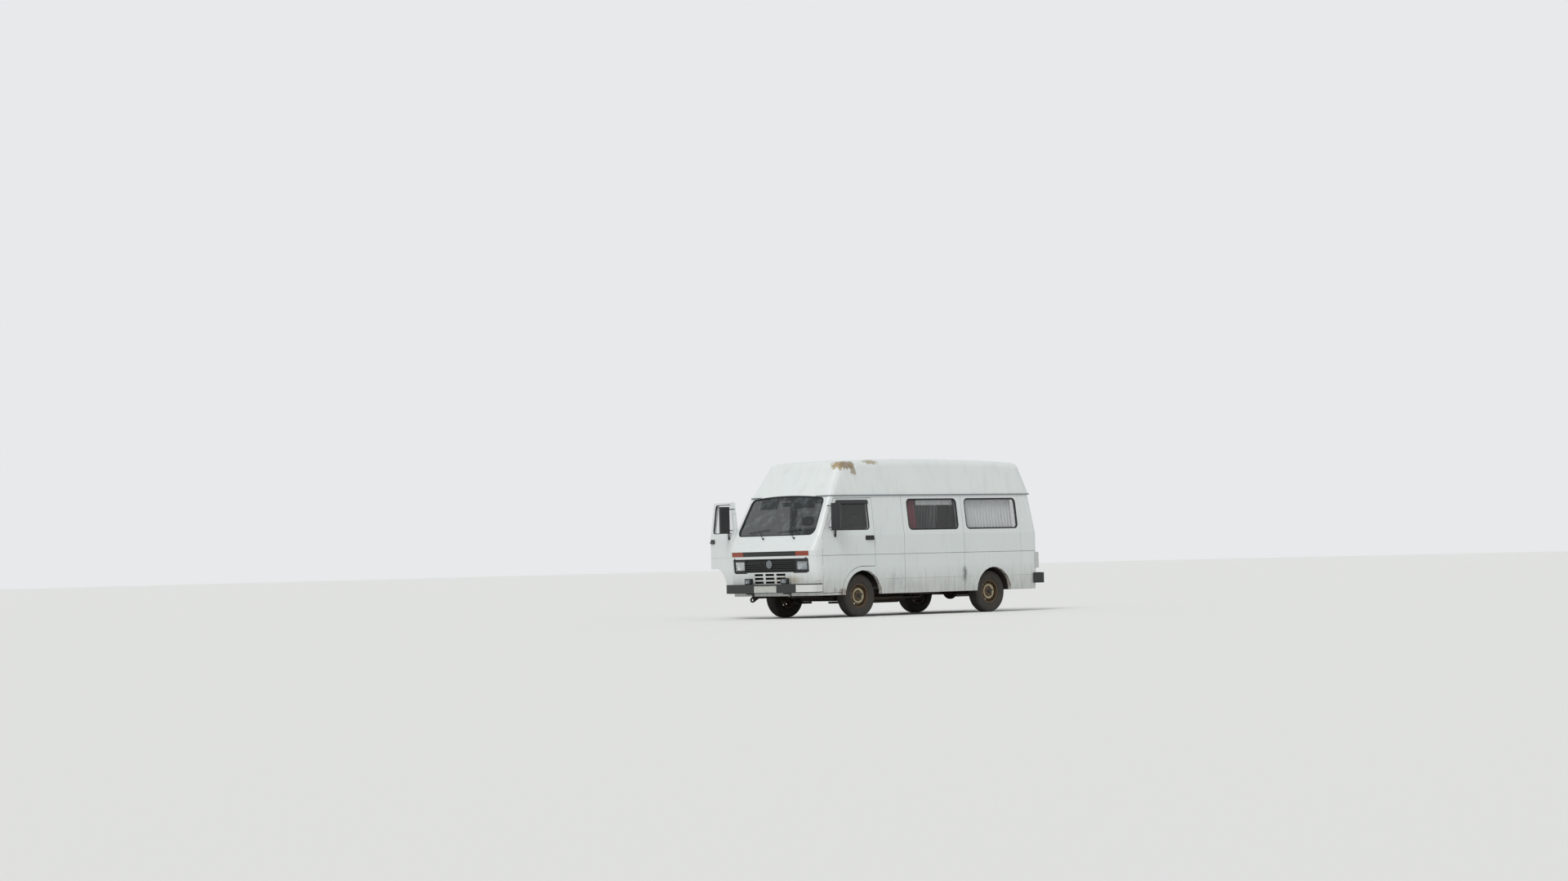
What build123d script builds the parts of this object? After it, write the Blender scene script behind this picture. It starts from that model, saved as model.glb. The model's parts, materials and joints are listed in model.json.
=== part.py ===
"""Forward-control camper van with a tall moulded roof, standing with its right front door open.

Millimetres. The origin is on the floor, on the centreline, under the front axle.
X runs forward, Y to the vehicle's left, Z up.
"""

import os
from functools import cache
from math import cos, degrees, radians, sin, tan

from build123d import *

os.makedirs("parts", exist_ok=True)

# Overall layout
wheelbase = 2950.0
half_width = 1010.0
sill_half_width = 990.0
drip_half_width = 932.0
sill_z = 355.0
step_z = 590.0
shoulder_z = 1065.0
belt_z = 1285.0
drip_z = 1905.0

# Front face on the centreline, and how far it bows back at its ends
sill_front = 1056.0
step_front = 1066.0
shoulder_front = 1105.0
belt_front = 990.0
drip_front = 664.0
front_bow = 52.0
front_corner = 150.0
belt_corner = 100.0
pillar_corner = 80.0

# Rear face, measured from the rear axle
rear_overhang = 1052.0
rear_lean = 87.0
rear_corner = 90.0
rear_x = -(wheelbase + rear_overhang)

# Thickness of the double-skinned walls, doors and glass
wall = 45.0
door_wall = 55.0
door_gap = 8.0
glass_depth = 12.0
glass_wall = 6.0
sheet = 4.0

# Wheels
hub_z = 335.0
tyre_radius = 335.0
tyre_width = 205.0
rim_radius = 178.0
rim_width = 150.0
wheel_y = 827.0
kingpin_y = 760.0
arch_radius = 395.0
flare_width = 46.0
flare_height = 9.0
housing_clearance = 6.0
housing_inner_y = 500.0

# Joints between the side panels, along X
door_front = 864.0
door_rear = -272.0
panel_joint_1 = -930.0
panel_joint_2 = -2283.0
corner_joint = rear_x + 390.0
seam_width = 6.0
seam_depth = 4.0
crease_z = 975.0

# Front doors
door_bottom = 395.0
door_heel_radius = 465.0
door_top = 1868.0
door_front_top = 540.0
door_frame = 65.0
window_rear_post = 90.0
window_low = 1366.0
window_high = 1836.0
door_open_right = 69.0
hinge_radius = 9.0
hinge_length = 50.0
hinge_clearance = 2.0
hinge_heights = (740.0, 1150.0)

# Rear doors
rear_door_half = 916.0
rear_door_bottom = 632.0
rear_door_top = 1880.0
centre_gap = 10.0
rear_window_inner = 110.0
rear_window_outer = 800.0
rear_window_taper = 60.0

# Pull handles in their pockets: size, reach from the skin, and places of their middles
handle_length = 165.0
handle_height = 24.0
handle_bar = 16.0
handle_reach = 26.0
handle_recess = 12.0
handle_corner = 7.0
handle_margin = 12.0
handle_room = 36.0
front_handle = (-165.0, 1218.0)
slider_handle = (-405.0, 1100.0)
rear_handle = (-110.0, 1110.0)

# Guide rail of the sliding door in the right side wall
guide_low = 1004.0
guide_high = 1034.0
guide_depth = 16.0
guide_rear = -3500.0

# Wipers, parked: pivots across the front, reach of the arms and blades
wiper_y = (-304.0, 398.0)
wiper_pivot_z = 1262.0
wiper_pivot_radius = 13.0
wiper_pivot_height = 24.0
wiper_arm = (-165.0, 118.0)
wiper_arm_radius = 5.0
wiper_blade_half = 230.0
wiper_blade_rise = 26.0
wiper_blade_radius = 7.0
wiper_lift = 12.0

# Side windows between their front and rear edges
side_window_low = 1361.0
side_window_high = 1844.0
window_1 = (-1054.0, -2172.0)
window_2 = (-2364.0, -3550.0)
slider_front = -300.0
slider_rear = -1390.0
slider_window = (-400.0, -1290.0)
window_corner = 70.0
slider_low = 470.0

# Load floor and chassis
floor_z = 600.0
floor_thickness = 40.0
cab_floor_z = 450.0
seat_box_z = 820.0
seat_box_front = 425.0
seat_box_rear = -425.0
rail_y = 430.0
rail_width = 60.0
rail_height = 90.0
rail_top = floor_z - floor_thickness
rail_rear = rear_x + 60.0
crossmember_height = 60.0
rear_crossmember_x = (-820.0, -1450.0, -2200.0, -3450.0, rail_rear + 60.0)
cab_floor_half = sill_half_width - door_wall - door_gap
tow_front_x = 1060.0
tow_rear_x = rail_rear + 60.0
tow_z = 300.0
tow_width = 25.0
tow_outer = 42.0
tow_bore = 22.0
jack_x = (-700.0, -2200.0)
jack_pad = 90.0

# Tall roof: lean of each side from vertical, and the drop of its crown at the rims
roof_top_z = 2515.0
roof_wall = 28.0
roof_side_lean = 12.5
roof_front_lean = 32.0
roof_rear_lean = 15.0
roof_rear_overhang = 45.0
roof_corner = 110.0
roof_top_corner = 160.0
roof_rim = 140.0
crown_drop = 48.0
crown_reach = 1100.0
crown_x = -1600.0
crown_radius = 39500.0
crown_length = 6200.0
gutter = 14.0
gutter_height = 18.0

# Front face fittings
grille_half = 876.0
grille_low = 730.0
grille_high = 944.0
lamp_y = (600.0, 838.0)
lamp_z = (761.0, 906.0)
strip_half = 892.0
strip_low = 984.0
strip_high = 1058.0
lens_inner_y = 611.0
lens_joint = 2.0
slot_columns = (-256.0, 0.0, 256.0)
slot_rows = (572.0, 633.0, 692.0)
slot_width = 194.0
slot_height = 26.0
windscreen_low = 1306.0
windscreen_high = 1880.0
screen_arch = 42.0
windscreen_low_half = 892.0
windscreen_high_half = 826.0
windscreen_radius = 90.0
pillar_cut_x = 400.0
panel_radius = 12.0
grille_depth = 14.0
grille_thickness = 18.0
grille_border = 16.0
grille_slats = 6
lamp_depth = 24.0
lens_depth = 4.0
lens_thickness = 26.0
emblem_z = 856.0
emblem_radius = 65.0
emblem_height = 10.0
slat_radius = 4.0
grille_front = 1088.0
tail_lamp_y = 975.0
tail_lamp_z = (700.0, 960.0)
tail_lamp_width = 80.0
tail_lamp_depth = 14.0

# Places for the number plates: middle across, foot and head
plate_half = 265.0
plate_recess = 5.0
front_plate = (0.0, 410.0, 523.0)
rear_plate = (430.0, 720.0, 833.0)

# Bumpers
bumper_front = 1188.0
bumper_half = 1030.0
bumper_clearance = 3.0
bumper_low = 405.0
bumper_high = 545.0
bumper_wall = 42.0
bumper_end_x = 905.0
bumper_corner = 140.0
rear_bumper_corner = 90.0
rear_bumper_wall = 6.0
fog_set_back = 12.0
rear_bumper_reach = 170.0
rear_bumper_end = -3870.0
rear_bumper_low = 450.0
rear_bumper_high = 620.0
step_half = 1000.0
step_thickness = 10.0
fog_y = 422.0
fog_width = 140.0
fog_height = 92.0
fog_depth = 70.0

# Running gear
spindle_radius = 28.0
spindle_reach = 58.0
rear_tube_half = 745.0
wishbone_window = 45.0
wishbone_window_y = 520.0
hub_rise = 22.0
disc_crown = 8.0
bearing_gap = 0.5
wishbone_height = 105.0
wishbone_half = 16.0
axle_tube_radius = 45.0
drum_radius = 135.0
drum_width = 60.0
spring_y = 430.0

knuckle_radius = 24.0
ball_pin_radius = 10.0
crossmember_half = 380.0
axle_beam_z = 285.0
axle_beam_height = 70.0
axle_beam_width = 130.0
wishbone_root_x = 150.0
hub_radius = 60.0
rim_wall = 6.0
flange_height = 12.0
rim_disc_inset = 28.0
rim_hole_count = 12
rim_hole_radius = 12.0
rim_hole_circle = 140.0
disc_crown_radius = 118.0
tread_half = 72.0
shoulder_drop = 14.0
bead_half = 66.0
spring_half_length = 560.0
spring_width = 60.0
spring_height = 36.0
differential_radius = 120.0

# Fittings on the doors and in the cab
mirror_width = 170.0
mirror_height = 420.0
mirror_depth = 60.0
mirror_y = 1120.0
mirror_x = 672.0
mirror_low = 1375.0
mirror_arm_inset = 40.0
mirror_foot = 20.0
mirror_arm_radius = 8.0
seat_y = 550.0
seat_width = 480.0
seat_depth = 480.0
seat_rear = -350.0
seat_softness = 45.0
cushion_height = 120.0
backrest_height = 560.0
backrest_depth = 110.0
headrest_width = 260.0
headrest_height = 170.0
seat_gap = 15.0
steering_y = 550.0
steering_x = 545.0
steering_z = 1175.0
steering_radius = 215.0
steering_rim = 15.0
steering_tilt = 28.0
steering_hub = 50.0
steering_column = 22.0
column_length = 330.0
seat_plinth = 60.0
dash_clearance = 4.0
dash_slope = 60.0
dash_half = 930.0
dash_rear = 660.0
dash_low = 880.0
dash_high = 1225.0
curtain_wall = 14.0
curtain_depth = 20.0
# Each curtain's front and rear, its foot and head, and its side of the vehicle
curtain_table = (
    (-1075.0, -1300.0, 1300.0, 1880.0, 1),
    (-1320.0, -2150.0, 1750.0, 1880.0, 1),
    (-2330.0, -3580.0, 1300.0, 1880.0, 1),
    (-2330.0, -3580.0, 1300.0, 1880.0, -1),
)

# Underbody and the toe board that closes the cab behind the grille
toe_board_x = 980.0
toe_board_high = 875.0
rail_front = 1000.0
cab_rail_top = cab_floor_z - floor_thickness
cab_crossmember_x = 760.0
jack_pad_height = 12.0
bracket_wall = 25.0
bracket_high = 500.0
rear_bracket_height = 60.0
bracket_clearance = 3.0
engine_front = 600.0
engine_rear = -150.0
engine_half = 220.0
engine_low = 370.0
engine_high = 900.0
cover_clearance = 30.0
cover_high = 960.0
gearbox_rear = -720.0
gearbox_half = 120.0
bell_half = 125.0
shaft_radius = 38.0
shaft_z = 380.0
shaft_gap = 2.0
pipe_radius = 25.0
pipe_y = -300.0
pipe_z = 270.0
pipe_bend = 150.0
pipe_inset = 40.0
pipe_clearance = 30.0
silencer_rear = -2000.0
silencer_width = 220.0
silencer_height = 160.0
silencer_length = 600.0
tank_front = -1150.0
tank_rear = -1850.0
tank_low = 330.0
tank_inner = 510.0
tank_outer = 880.0
tank_radius = 40.0


def plan_outline(height, half, front, rear, nose_radius, tail_radius, inset):
    """Horizontal outline of the body at one height, bowed at the front, inset by a wall."""
    side = half - inset
    ends = front - front_bow - inset
    back = rear + inset
    with BuildSketch(Plane.XY.offset(height)) as outline:
        with BuildLine():
            ThreePointArc((ends, -side), (front - inset, 0), (ends, side))
            Line((ends, side), (back, side))
            Line((back, side), (back, -side))
            Line((back, -side), (ends, -side))
        make_face()
        fillet(outline.vertices().sort_by(Axis.X)[2:], nose_radius - inset)
        fillet(outline.vertices().sort_by(Axis.X)[:2], tail_radius - inset)
    return outline.sketch


# Stations of the steel body: height, half width, front, rear, front and rear corner radius.
# The last one stands above the drip line, where only the arch over the windscreen is kept.
drip_rear = rear_x + rear_lean
side_slope = (half_width - drip_half_width) / (drip_z - belt_z)
screen_slope = (belt_front - drip_front) / (drip_z - belt_z)
body_stations = (
    (sill_z, sill_half_width, sill_front, rear_x, front_corner, rear_corner),
    (step_z, half_width, step_front, rear_x, front_corner, rear_corner),
    (shoulder_z, half_width, shoulder_front, rear_x, front_corner, rear_corner),
    (belt_z, half_width, belt_front, rear_x, belt_corner, rear_corner),
    (drip_z, drip_half_width, drip_front, drip_rear, pillar_corner, rear_corner),
    (
        drip_z + screen_arch,
        drip_half_width - screen_arch * side_slope,
        drip_front - screen_arch * screen_slope,
        drip_rear,
        pillar_corner,
        rear_corner,
    ),
)

# Stations of the tall roof, the upper one above its crown
roof_rise = roof_top_z + crown_drop - drip_z
roof_rear = drip_rear - roof_rear_overhang
roof_stations = (
    (drip_z, drip_half_width, drip_front, roof_rear, roof_corner, roof_corner),
    (
        drip_z + roof_rise,
        drip_half_width - roof_rise * tan(radians(roof_side_lean)),
        drip_front - roof_rise * tan(radians(roof_front_lean)),
        roof_rear + roof_rise * tan(radians(roof_rear_lean)),
        roof_top_corner,
        roof_top_corner,
    ),
)


@cache
def envelope(stations, inset):
    """Solid block between horizontal outlines, inset from its outer skin."""
    outlines = [plan_outline(*station, inset) for station in stations]
    with BuildPart() as block:
        loft(outlines, ruled=True)
    return block.part


def across(points, low_y, high_y, radius=0.0):
    """Prism across the vehicle, from one Y to another, over an outline of X and Z points."""
    with BuildPart() as prism:
        with BuildSketch(Plane.XZ.offset(-high_y)) as outline:
            with BuildLine():
                Polyline(*points, close=True)
            make_face()
            if radius:
                fillet(outline.vertices(), radius)
        extrude(amount=high_y - low_y)
    return prism.part


def along(points, low_x, high_x, radius=0.0):
    """Prism along the vehicle, from one X to another, over an outline of Y and Z points."""
    with BuildPart() as prism:
        with BuildSketch(Plane.YZ.offset(low_x)) as outline:
            with BuildLine():
                Polyline(*points, close=True)
            make_face()
            if radius:
                fillet(outline.vertices(), radius)
        extrude(amount=high_x - low_x)
    return prism.part


def box_between(low, high):
    """Box between two corners."""
    with BuildPart() as block:
        with BuildSketch(Plane.XY.offset(low[2])):
            with Locations(((low[0] + high[0]) / 2, (low[1] + high[1]) / 2)):
                Rectangle(high[0] - low[0], high[1] - low[1])
        extrude(amount=high[2] - low[2])
    return block.part


def rod(start, end, radius):
    """Round bar from one point to another."""
    path = Vector(*end) - Vector(*start)
    with BuildPart() as bar:
        with BuildSketch(Plane(origin=start, z_dir=path)):
            Circle(radius)
        extrude(amount=path.length)
    return bar.part


def save(part, name):
    """Label a finished piece and write it out."""
    part.label = name
    export_step(part, f"parts/{name}.step")


reach_x = 2 * wheelbase
reach_y = 2 * half_width
outer = envelope(body_stations, 0)
wheel_x = (0.0, -wheelbase)

# Shallow crease line round the body
with BuildPart() as crease:
    with BuildSketch(Plane.XY.offset(crease_z)):
        Rectangle(2 * reach_x, 2 * reach_y)
    extrude(amount=seam_width)
    add(envelope(body_stations, seam_depth), mode=Mode.SUBTRACT)


def hollow_body(thickness):
    """Body walls of one thickness, with flared and open wheel arches and the crease line."""
    core = envelope(body_stations, thickness)
    with BuildPart() as walls:
        add(outer)
        for x in wheel_x:
            with BuildSketch(Plane.XZ.offset(-half_width - flare_height)):
                with Locations((x, hub_z)):
                    Circle(arch_radius + flare_width)
                with Locations((x, sill_z - half_width)):
                    Rectangle(4 * arch_radius, 2 * half_width, mode=Mode.SUBTRACT)
            extrude(amount=2 * (half_width + flare_height))
        add(core, mode=Mode.SUBTRACT)
        for x in wheel_x:
            with BuildSketch(Plane.XZ.offset(-reach_y)):
                with Locations((x, hub_z)):
                    Circle(arch_radius)
            extrude(amount=2 * reach_y, mode=Mode.SUBTRACT)
        add(crease.part, mode=Mode.SUBTRACT)
    return walls.part


def glass_layer():
    """Layer of the body skin in which the fixed glass lies."""
    with BuildPart() as layer:
        add(envelope(body_stations, glass_depth))
        add(envelope(body_stations, glass_depth + glass_wall), mode=Mode.SUBTRACT)
    return layer.part


body_walls = hollow_body(wall)
door_walls = hollow_body(door_wall)
glazing = glass_layer()

# Openings and doors as outlines of X and Z, the margin being the gap round a door
pillar_slope = (door_front - door_front_top) / (door_top - belt_z)


def front_door_block(margin, low_y, high_y):
    """Prism through a front door, whose lower rear corner is cut out round the wheel arch."""
    heel_z = hub_z + door_heel_radius
    outline = (
        (door_front + margin, door_bottom - margin),
        (door_front + margin, belt_z),
        (door_front_top + margin, door_top + margin),
        (door_rear - margin, door_top + margin),
        (door_rear - margin, heel_z - margin),
        (0, heel_z - margin),
        (0, door_bottom - margin),
    )
    with BuildPart() as prism:
        add(across(outline, low_y, high_y))
        with BuildSketch(Plane.XZ.offset(-high_y)):
            with Locations((0, hub_z)):
                Circle(door_heel_radius - margin)
        extrude(amount=high_y - low_y, mode=Mode.SUBTRACT)
    return prism.part


def pillar_line(z):
    """Front edge of the door at a height above the belt."""
    return door_front - (z - belt_z) * pillar_slope


door_window = (
    (pillar_line(window_low) - door_frame, window_low),
    (pillar_line(window_high) - door_frame, window_high),
    (door_rear + window_rear_post, window_high),
    (door_rear + window_rear_post, window_low),
)


def window_outline(span):
    """Outline of a side window between its front and rear edges."""
    front, rear = span
    return (
        (front, side_window_low),
        (front, side_window_high),
        (rear, side_window_high),
        (rear, side_window_low),
    )


def slider_outline(margin):
    """Outline of the sliding door."""
    return (
        (slider_front + margin, slider_low - margin),
        (slider_front + margin, door_top + margin),
        (slider_rear - margin, door_top + margin),
        (slider_rear - margin, slider_low - margin),
    )


rear_door_high_half = rear_door_half - (rear_door_top - belt_z) * side_slope


def rear_door_outline(side, margin, inner_y):
    """Outline in Y and Z of one rear door, on the side given by the sign."""
    return (
        (side * inner_y, rear_door_bottom - margin),
        (side * (rear_door_half + margin), rear_door_bottom - margin),
        (side * (rear_door_half + margin), belt_z),
        (side * (rear_door_high_half + margin), rear_door_top + margin),
        (side * inner_y, rear_door_top + margin),
    )


def hinge_barrels(x, y, heights, fixed):
    """Round hinge knuckles on one vertical axis: the outer pair is fixed, the middle one moves."""
    with BuildPart() as barrels:
        for z in heights:
            if fixed:
                spans = ((-1.5, -0.5), (0.5, 1.5))
            else:
                spans = ((-0.5, 0.5),)
            for low, high in spans:
                with BuildSketch(Plane.XY.offset(z + low * hinge_length + bearing_gap)):
                    with Locations((x, y)):
                        Circle(hinge_radius)
                extrude(amount=(high - low) * hinge_length - 2 * bearing_gap)
    return barrels.part


def hinge_room(x, y, heights, moving):
    """Clearance cut round the knuckles of the other side of the hinge."""
    spans = ((-1.5, -0.5), (0.5, 1.5)) if moving else ((-0.5, 0.5),)
    with BuildPart() as room:
        for z in heights:
            for low, high in spans:
                with BuildSketch(Plane.XY.offset(z + low * hinge_length - bearing_gap)):
                    with Locations((x, y)):
                        Circle(hinge_radius + hinge_clearance)
                extrude(amount=(high - low) * hinge_length + 2 * bearing_gap)
    return room.part


def pull_handle(plane):
    """Looped handle: its length along the plane's X, its reach along Y and its height along Z."""
    with BuildPart() as handle:
        with BuildSketch(plane):
            with Locations((0, (handle_reach - handle_recess) / 2)):
                RectangleRounded(handle_length, handle_reach + handle_recess, handle_corner)
            with Locations((0, -handle_recess)):
                Rectangle(
                    handle_length - 2 * handle_bar,
                    2 * (handle_reach + handle_recess - handle_bar),
                    mode=Mode.SUBTRACT,
                )
        extrude(amount=handle_height)
    return handle.part


def handle_pocket(plane):
    """Pocket in the skin behind a pull handle, with room for the fingers above it."""
    with BuildPart() as pocket:
        with BuildSketch(plane.offset(-handle_margin)):
            Rectangle(handle_length + 2 * handle_margin, 2 * handle_recess)
        extrude(amount=handle_height + handle_margin + handle_room)
        outwards = Axis(plane.origin, plane.y_dir)
        fillet(pocket.edges().filter_by(outwards), handle_margin)
    return pocket.part


def side_plane(place, side):
    """Plane on the side skin whose Y points outwards, at a place along X and Z."""
    return Plane(origin=(place[0], side * half_width, place[1]), x_dir=(side, 0, 0), z_dir=(0, 0, 1))


def bracket_room(low_x, high_x, high_z):
    """Notches for the two bumper brackets through the foot of an end panel."""
    with BuildPart() as notches:
        for side in (1, -1):
            centre = side * rail_y
            half = rail_width / 2 + bracket_clearance
            low = (low_x, centre - half, 0)
            add(box_between(low, (high_x, centre + half, high_z + bracket_clearance)))
    return notches.part


rail_bottom = rail_top - rail_height
rear_bracket_high = rail_bottom + rear_bracket_height
hinge_x = door_front + door_gap / 2
hinge_y = half_width
rear_hinge_x = rear_x
rear_hinge_y = rear_door_half + door_gap / 2

# Nose panel: front face, rounded corners and the sills under the doors
nose_joint = door_front + door_gap
with BuildPart() as nose_panel:
    add(body_walls)
    nose_region = (
        (0, sill_z - 1),
        (0, door_bottom - door_gap),
        (nose_joint, door_bottom - door_gap),
        (nose_joint, belt_z),
        (2 * nose_joint, belt_z),
        (2 * nose_joint, sill_z - 1),
    )
    add(across(nose_region, -reach_y, reach_y), mode=Mode.INTERSECT)
    for column in slot_columns:
        for row in slot_rows:
            with BuildSketch(Plane.YZ.offset(nose_joint)):
                with Locations((column, row)):
                    RectangleRounded(slot_width, slot_height, slot_height / 3)
            extrude(amount=reach_x, mode=Mode.SUBTRACT)
    with BuildSketch(Plane.YZ.offset(nose_joint)):
        with Locations((0, (grille_low + grille_high) / 2)):
            RectangleRounded(2 * grille_half, grille_high - grille_low, panel_radius)
        with Locations((0, (strip_low + strip_high) / 2)):
            RectangleRounded(2 * strip_half, strip_high - strip_low, panel_radius)
    extrude(amount=reach_x, mode=Mode.SUBTRACT)
    add(bracket_room(nose_joint, reach_x, cab_rail_top), mode=Mode.SUBTRACT)
    for side in (1, -1):
        add(hinge_barrels(hinge_x, side * hinge_y, hinge_heights, fixed=True))
        add(hinge_room(hinge_x, side * hinge_y, hinge_heights, moving=False), mode=Mode.SUBTRACT)
save(nose_panel.part, "nose_panel")

# Cab frame: windscreen pillars, header and the rails above the doors
def arched(low_half, low_z, high_half, high_z, radius=0.0):
    """Prism through the front of the cab under an arched top edge."""
    with BuildPart() as prism:
        with BuildSketch(Plane.YZ.offset(pillar_cut_x)) as outline:
            with BuildLine():
                Polyline((high_half, high_z), (low_half, low_z), (-low_half, low_z), (-high_half, high_z))
                ThreePointArc((-high_half, high_z), (0, high_z + screen_arch), (high_half, high_z))
            make_face()
            if radius:
                fillet(outline.vertices(), radius)
        extrude(amount=reach_x - pillar_cut_x)
    return prism.part


windscreen_cut = arched(
    windscreen_low_half,
    windscreen_low,
    windscreen_high_half,
    windscreen_high,
    windscreen_radius,
)
header_arch = arched(windscreen_high_half, belt_z, windscreen_high_half, drip_z)
with BuildPart() as cab_frame:
    cab_region = (
        (door_rear - door_gap, belt_z),
        (door_rear - door_gap, drip_z),
        (reach_x, drip_z),
        (reach_x, belt_z),
    )
    add(across(cab_region, -reach_y, reach_y))
    add(header_arch)
    add(body_walls, mode=Mode.INTERSECT)
    add(front_door_block(door_gap, -reach_y, reach_y), mode=Mode.SUBTRACT)
    add(windscreen_cut, mode=Mode.SUBTRACT)
save(cab_frame.part, "cab_frame")

with BuildPart() as windscreen:
    add(glazing)
    add(windscreen_cut, mode=Mode.INTERSECT)
save(windscreen.part, "windscreen")

# Side walls, with the seams between their panels
side_region = (
    (door_rear - door_gap, drip_z),
    (corner_joint, drip_z),
    (corner_joint, sill_z - 1),
    (0, sill_z - 1),
    (0, door_bottom - door_gap),
    (door_front, door_bottom - door_gap),
    (door_front, belt_z),
    (door_rear - door_gap, belt_z),
)
with BuildPart() as seams:
    for x in (panel_joint_1, panel_joint_2):
        with BuildSketch(Plane.XY.offset(sill_z)):
            with Locations((x, 0)):
                Rectangle(seam_width, 2 * reach_y)
        extrude(amount=drip_z - sill_z)
    add(envelope(body_stations, seam_depth), mode=Mode.SUBTRACT)

ahead_of_doors = box_between((door_heel_radius, -reach_y, 0), (reach_x, reach_y, drip_z))
side_glass = []
for name, side, spans in (
    ("side_wall_left", 1, (window_1, window_2)),
    ("side_wall_right", -1, (window_2,)),
):
    low_y, high_y = sorted((0.0, side * reach_y))
    with BuildPart() as side_wall:
        add(body_walls)
        add(across(side_region, low_y, high_y), mode=Mode.INTERSECT)
        add(front_door_block(door_gap, low_y, high_y), mode=Mode.SUBTRACT)
        add(ahead_of_doors, mode=Mode.SUBTRACT)
        add(seams.part, mode=Mode.SUBTRACT)
        for span in spans:
            cut = across(window_outline(span), low_y, high_y, window_corner)
            add(cut, mode=Mode.SUBTRACT)
            side_glass.append(cut)
        if side < 0:
            add(across(slider_outline(door_gap), low_y, high_y), mode=Mode.SUBTRACT)
            low = (guide_rear, -half_width, guide_low)
            high = (slider_rear, guide_depth - half_width, guide_high)
            add(box_between(low, high), mode=Mode.SUBTRACT)
    save(side_wall.part, name)

# Sliding door, shut, with its window
slider_cut = across(window_outline(slider_window), -reach_y, 0, window_corner)
side_glass.append(slider_cut)
with BuildPart() as sliding_door:
    add(body_walls)
    add(across(slider_outline(0), -reach_y, 0), mode=Mode.INTERSECT)
    add(slider_cut, mode=Mode.SUBTRACT)
    add(handle_pocket(side_plane(slider_handle, -1)), mode=Mode.SUBTRACT)
    add(pull_handle(side_plane(slider_handle, -1)))
save(sliding_door.part, "sliding_door")

with BuildPart() as side_windows:
    for cut in side_glass:
        add(cut)
    add(glazing, mode=Mode.INTERSECT)
save(side_windows.part, "side_windows")

# Rear frame: both corner posts, the sill below the doors and the header above them
with BuildPart() as rear_frame:
    add(body_walls)
    rear_region = (
        (corner_joint, sill_z - 1),
        (corner_joint, drip_z),
        (-reach_x, drip_z),
        (-reach_x, sill_z - 1),
    )
    add(across(rear_region, -reach_y, reach_y), mode=Mode.INTERSECT)
    add(bracket_room(-reach_x, rear_x + 2 * wall, rear_bracket_high), mode=Mode.SUBTRACT)
    for side in (1, -1):
        opening = rear_door_outline(side, door_gap, 0)
        add(along(opening, -reach_x, corner_joint - 1), mode=Mode.SUBTRACT)
        add(hinge_barrels(rear_hinge_x, side * rear_hinge_y, hinge_heights, fixed=True))
        room = hinge_room(rear_hinge_x, side * rear_hinge_y, hinge_heights, moving=False)
        add(room, mode=Mode.SUBTRACT)
save(rear_frame.part, "rear_frame")

# Rear doors and their glass
for name, side in (("rear_door_left", 1), ("rear_door_right", -1)):
    half_gap = centre_gap / 2
    leaf = along(rear_door_outline(side, 0, half_gap), -reach_x, corner_joint)
    window = along(
        (
            (side * rear_window_inner, side_window_low),
            (side * rear_window_outer, side_window_low),
            (side * (rear_window_outer - rear_window_taper), side_window_high),
            (side * rear_window_inner, side_window_high),
        ),
        -reach_x,
        corner_joint,
        window_corner,
    )
    with BuildPart() as rear_door:
        add(body_walls)
        add(leaf, mode=Mode.INTERSECT)
        add(window, mode=Mode.SUBTRACT)
        add(hinge_barrels(rear_hinge_x, side * rear_hinge_y, hinge_heights, fixed=False))
        room = hinge_room(rear_hinge_x, side * rear_hinge_y, hinge_heights, moving=True)
        add(room, mode=Mode.SUBTRACT)
        if side < 0:
            origin = (rear_x, rear_handle[0], rear_handle[1])
            plane = Plane(origin=origin, x_dir=(0, 1, 0), z_dir=(0, 0, 1))
            add(handle_pocket(plane), mode=Mode.SUBTRACT)
            add(pull_handle(plane))
        else:
            low = (rear_x, rear_plate[0] - plate_half, rear_plate[1])
            high = (rear_x + plate_recess, rear_plate[0] + plate_half, rear_plate[2])
            add(box_between(low, high), mode=Mode.SUBTRACT)
    save(rear_door.part, name)
    with BuildPart() as rear_glass:
        add(glazing)
        add(window, mode=Mode.INTERSECT)
    save(rear_glass.part, name.replace("door", "glass"))

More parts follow.
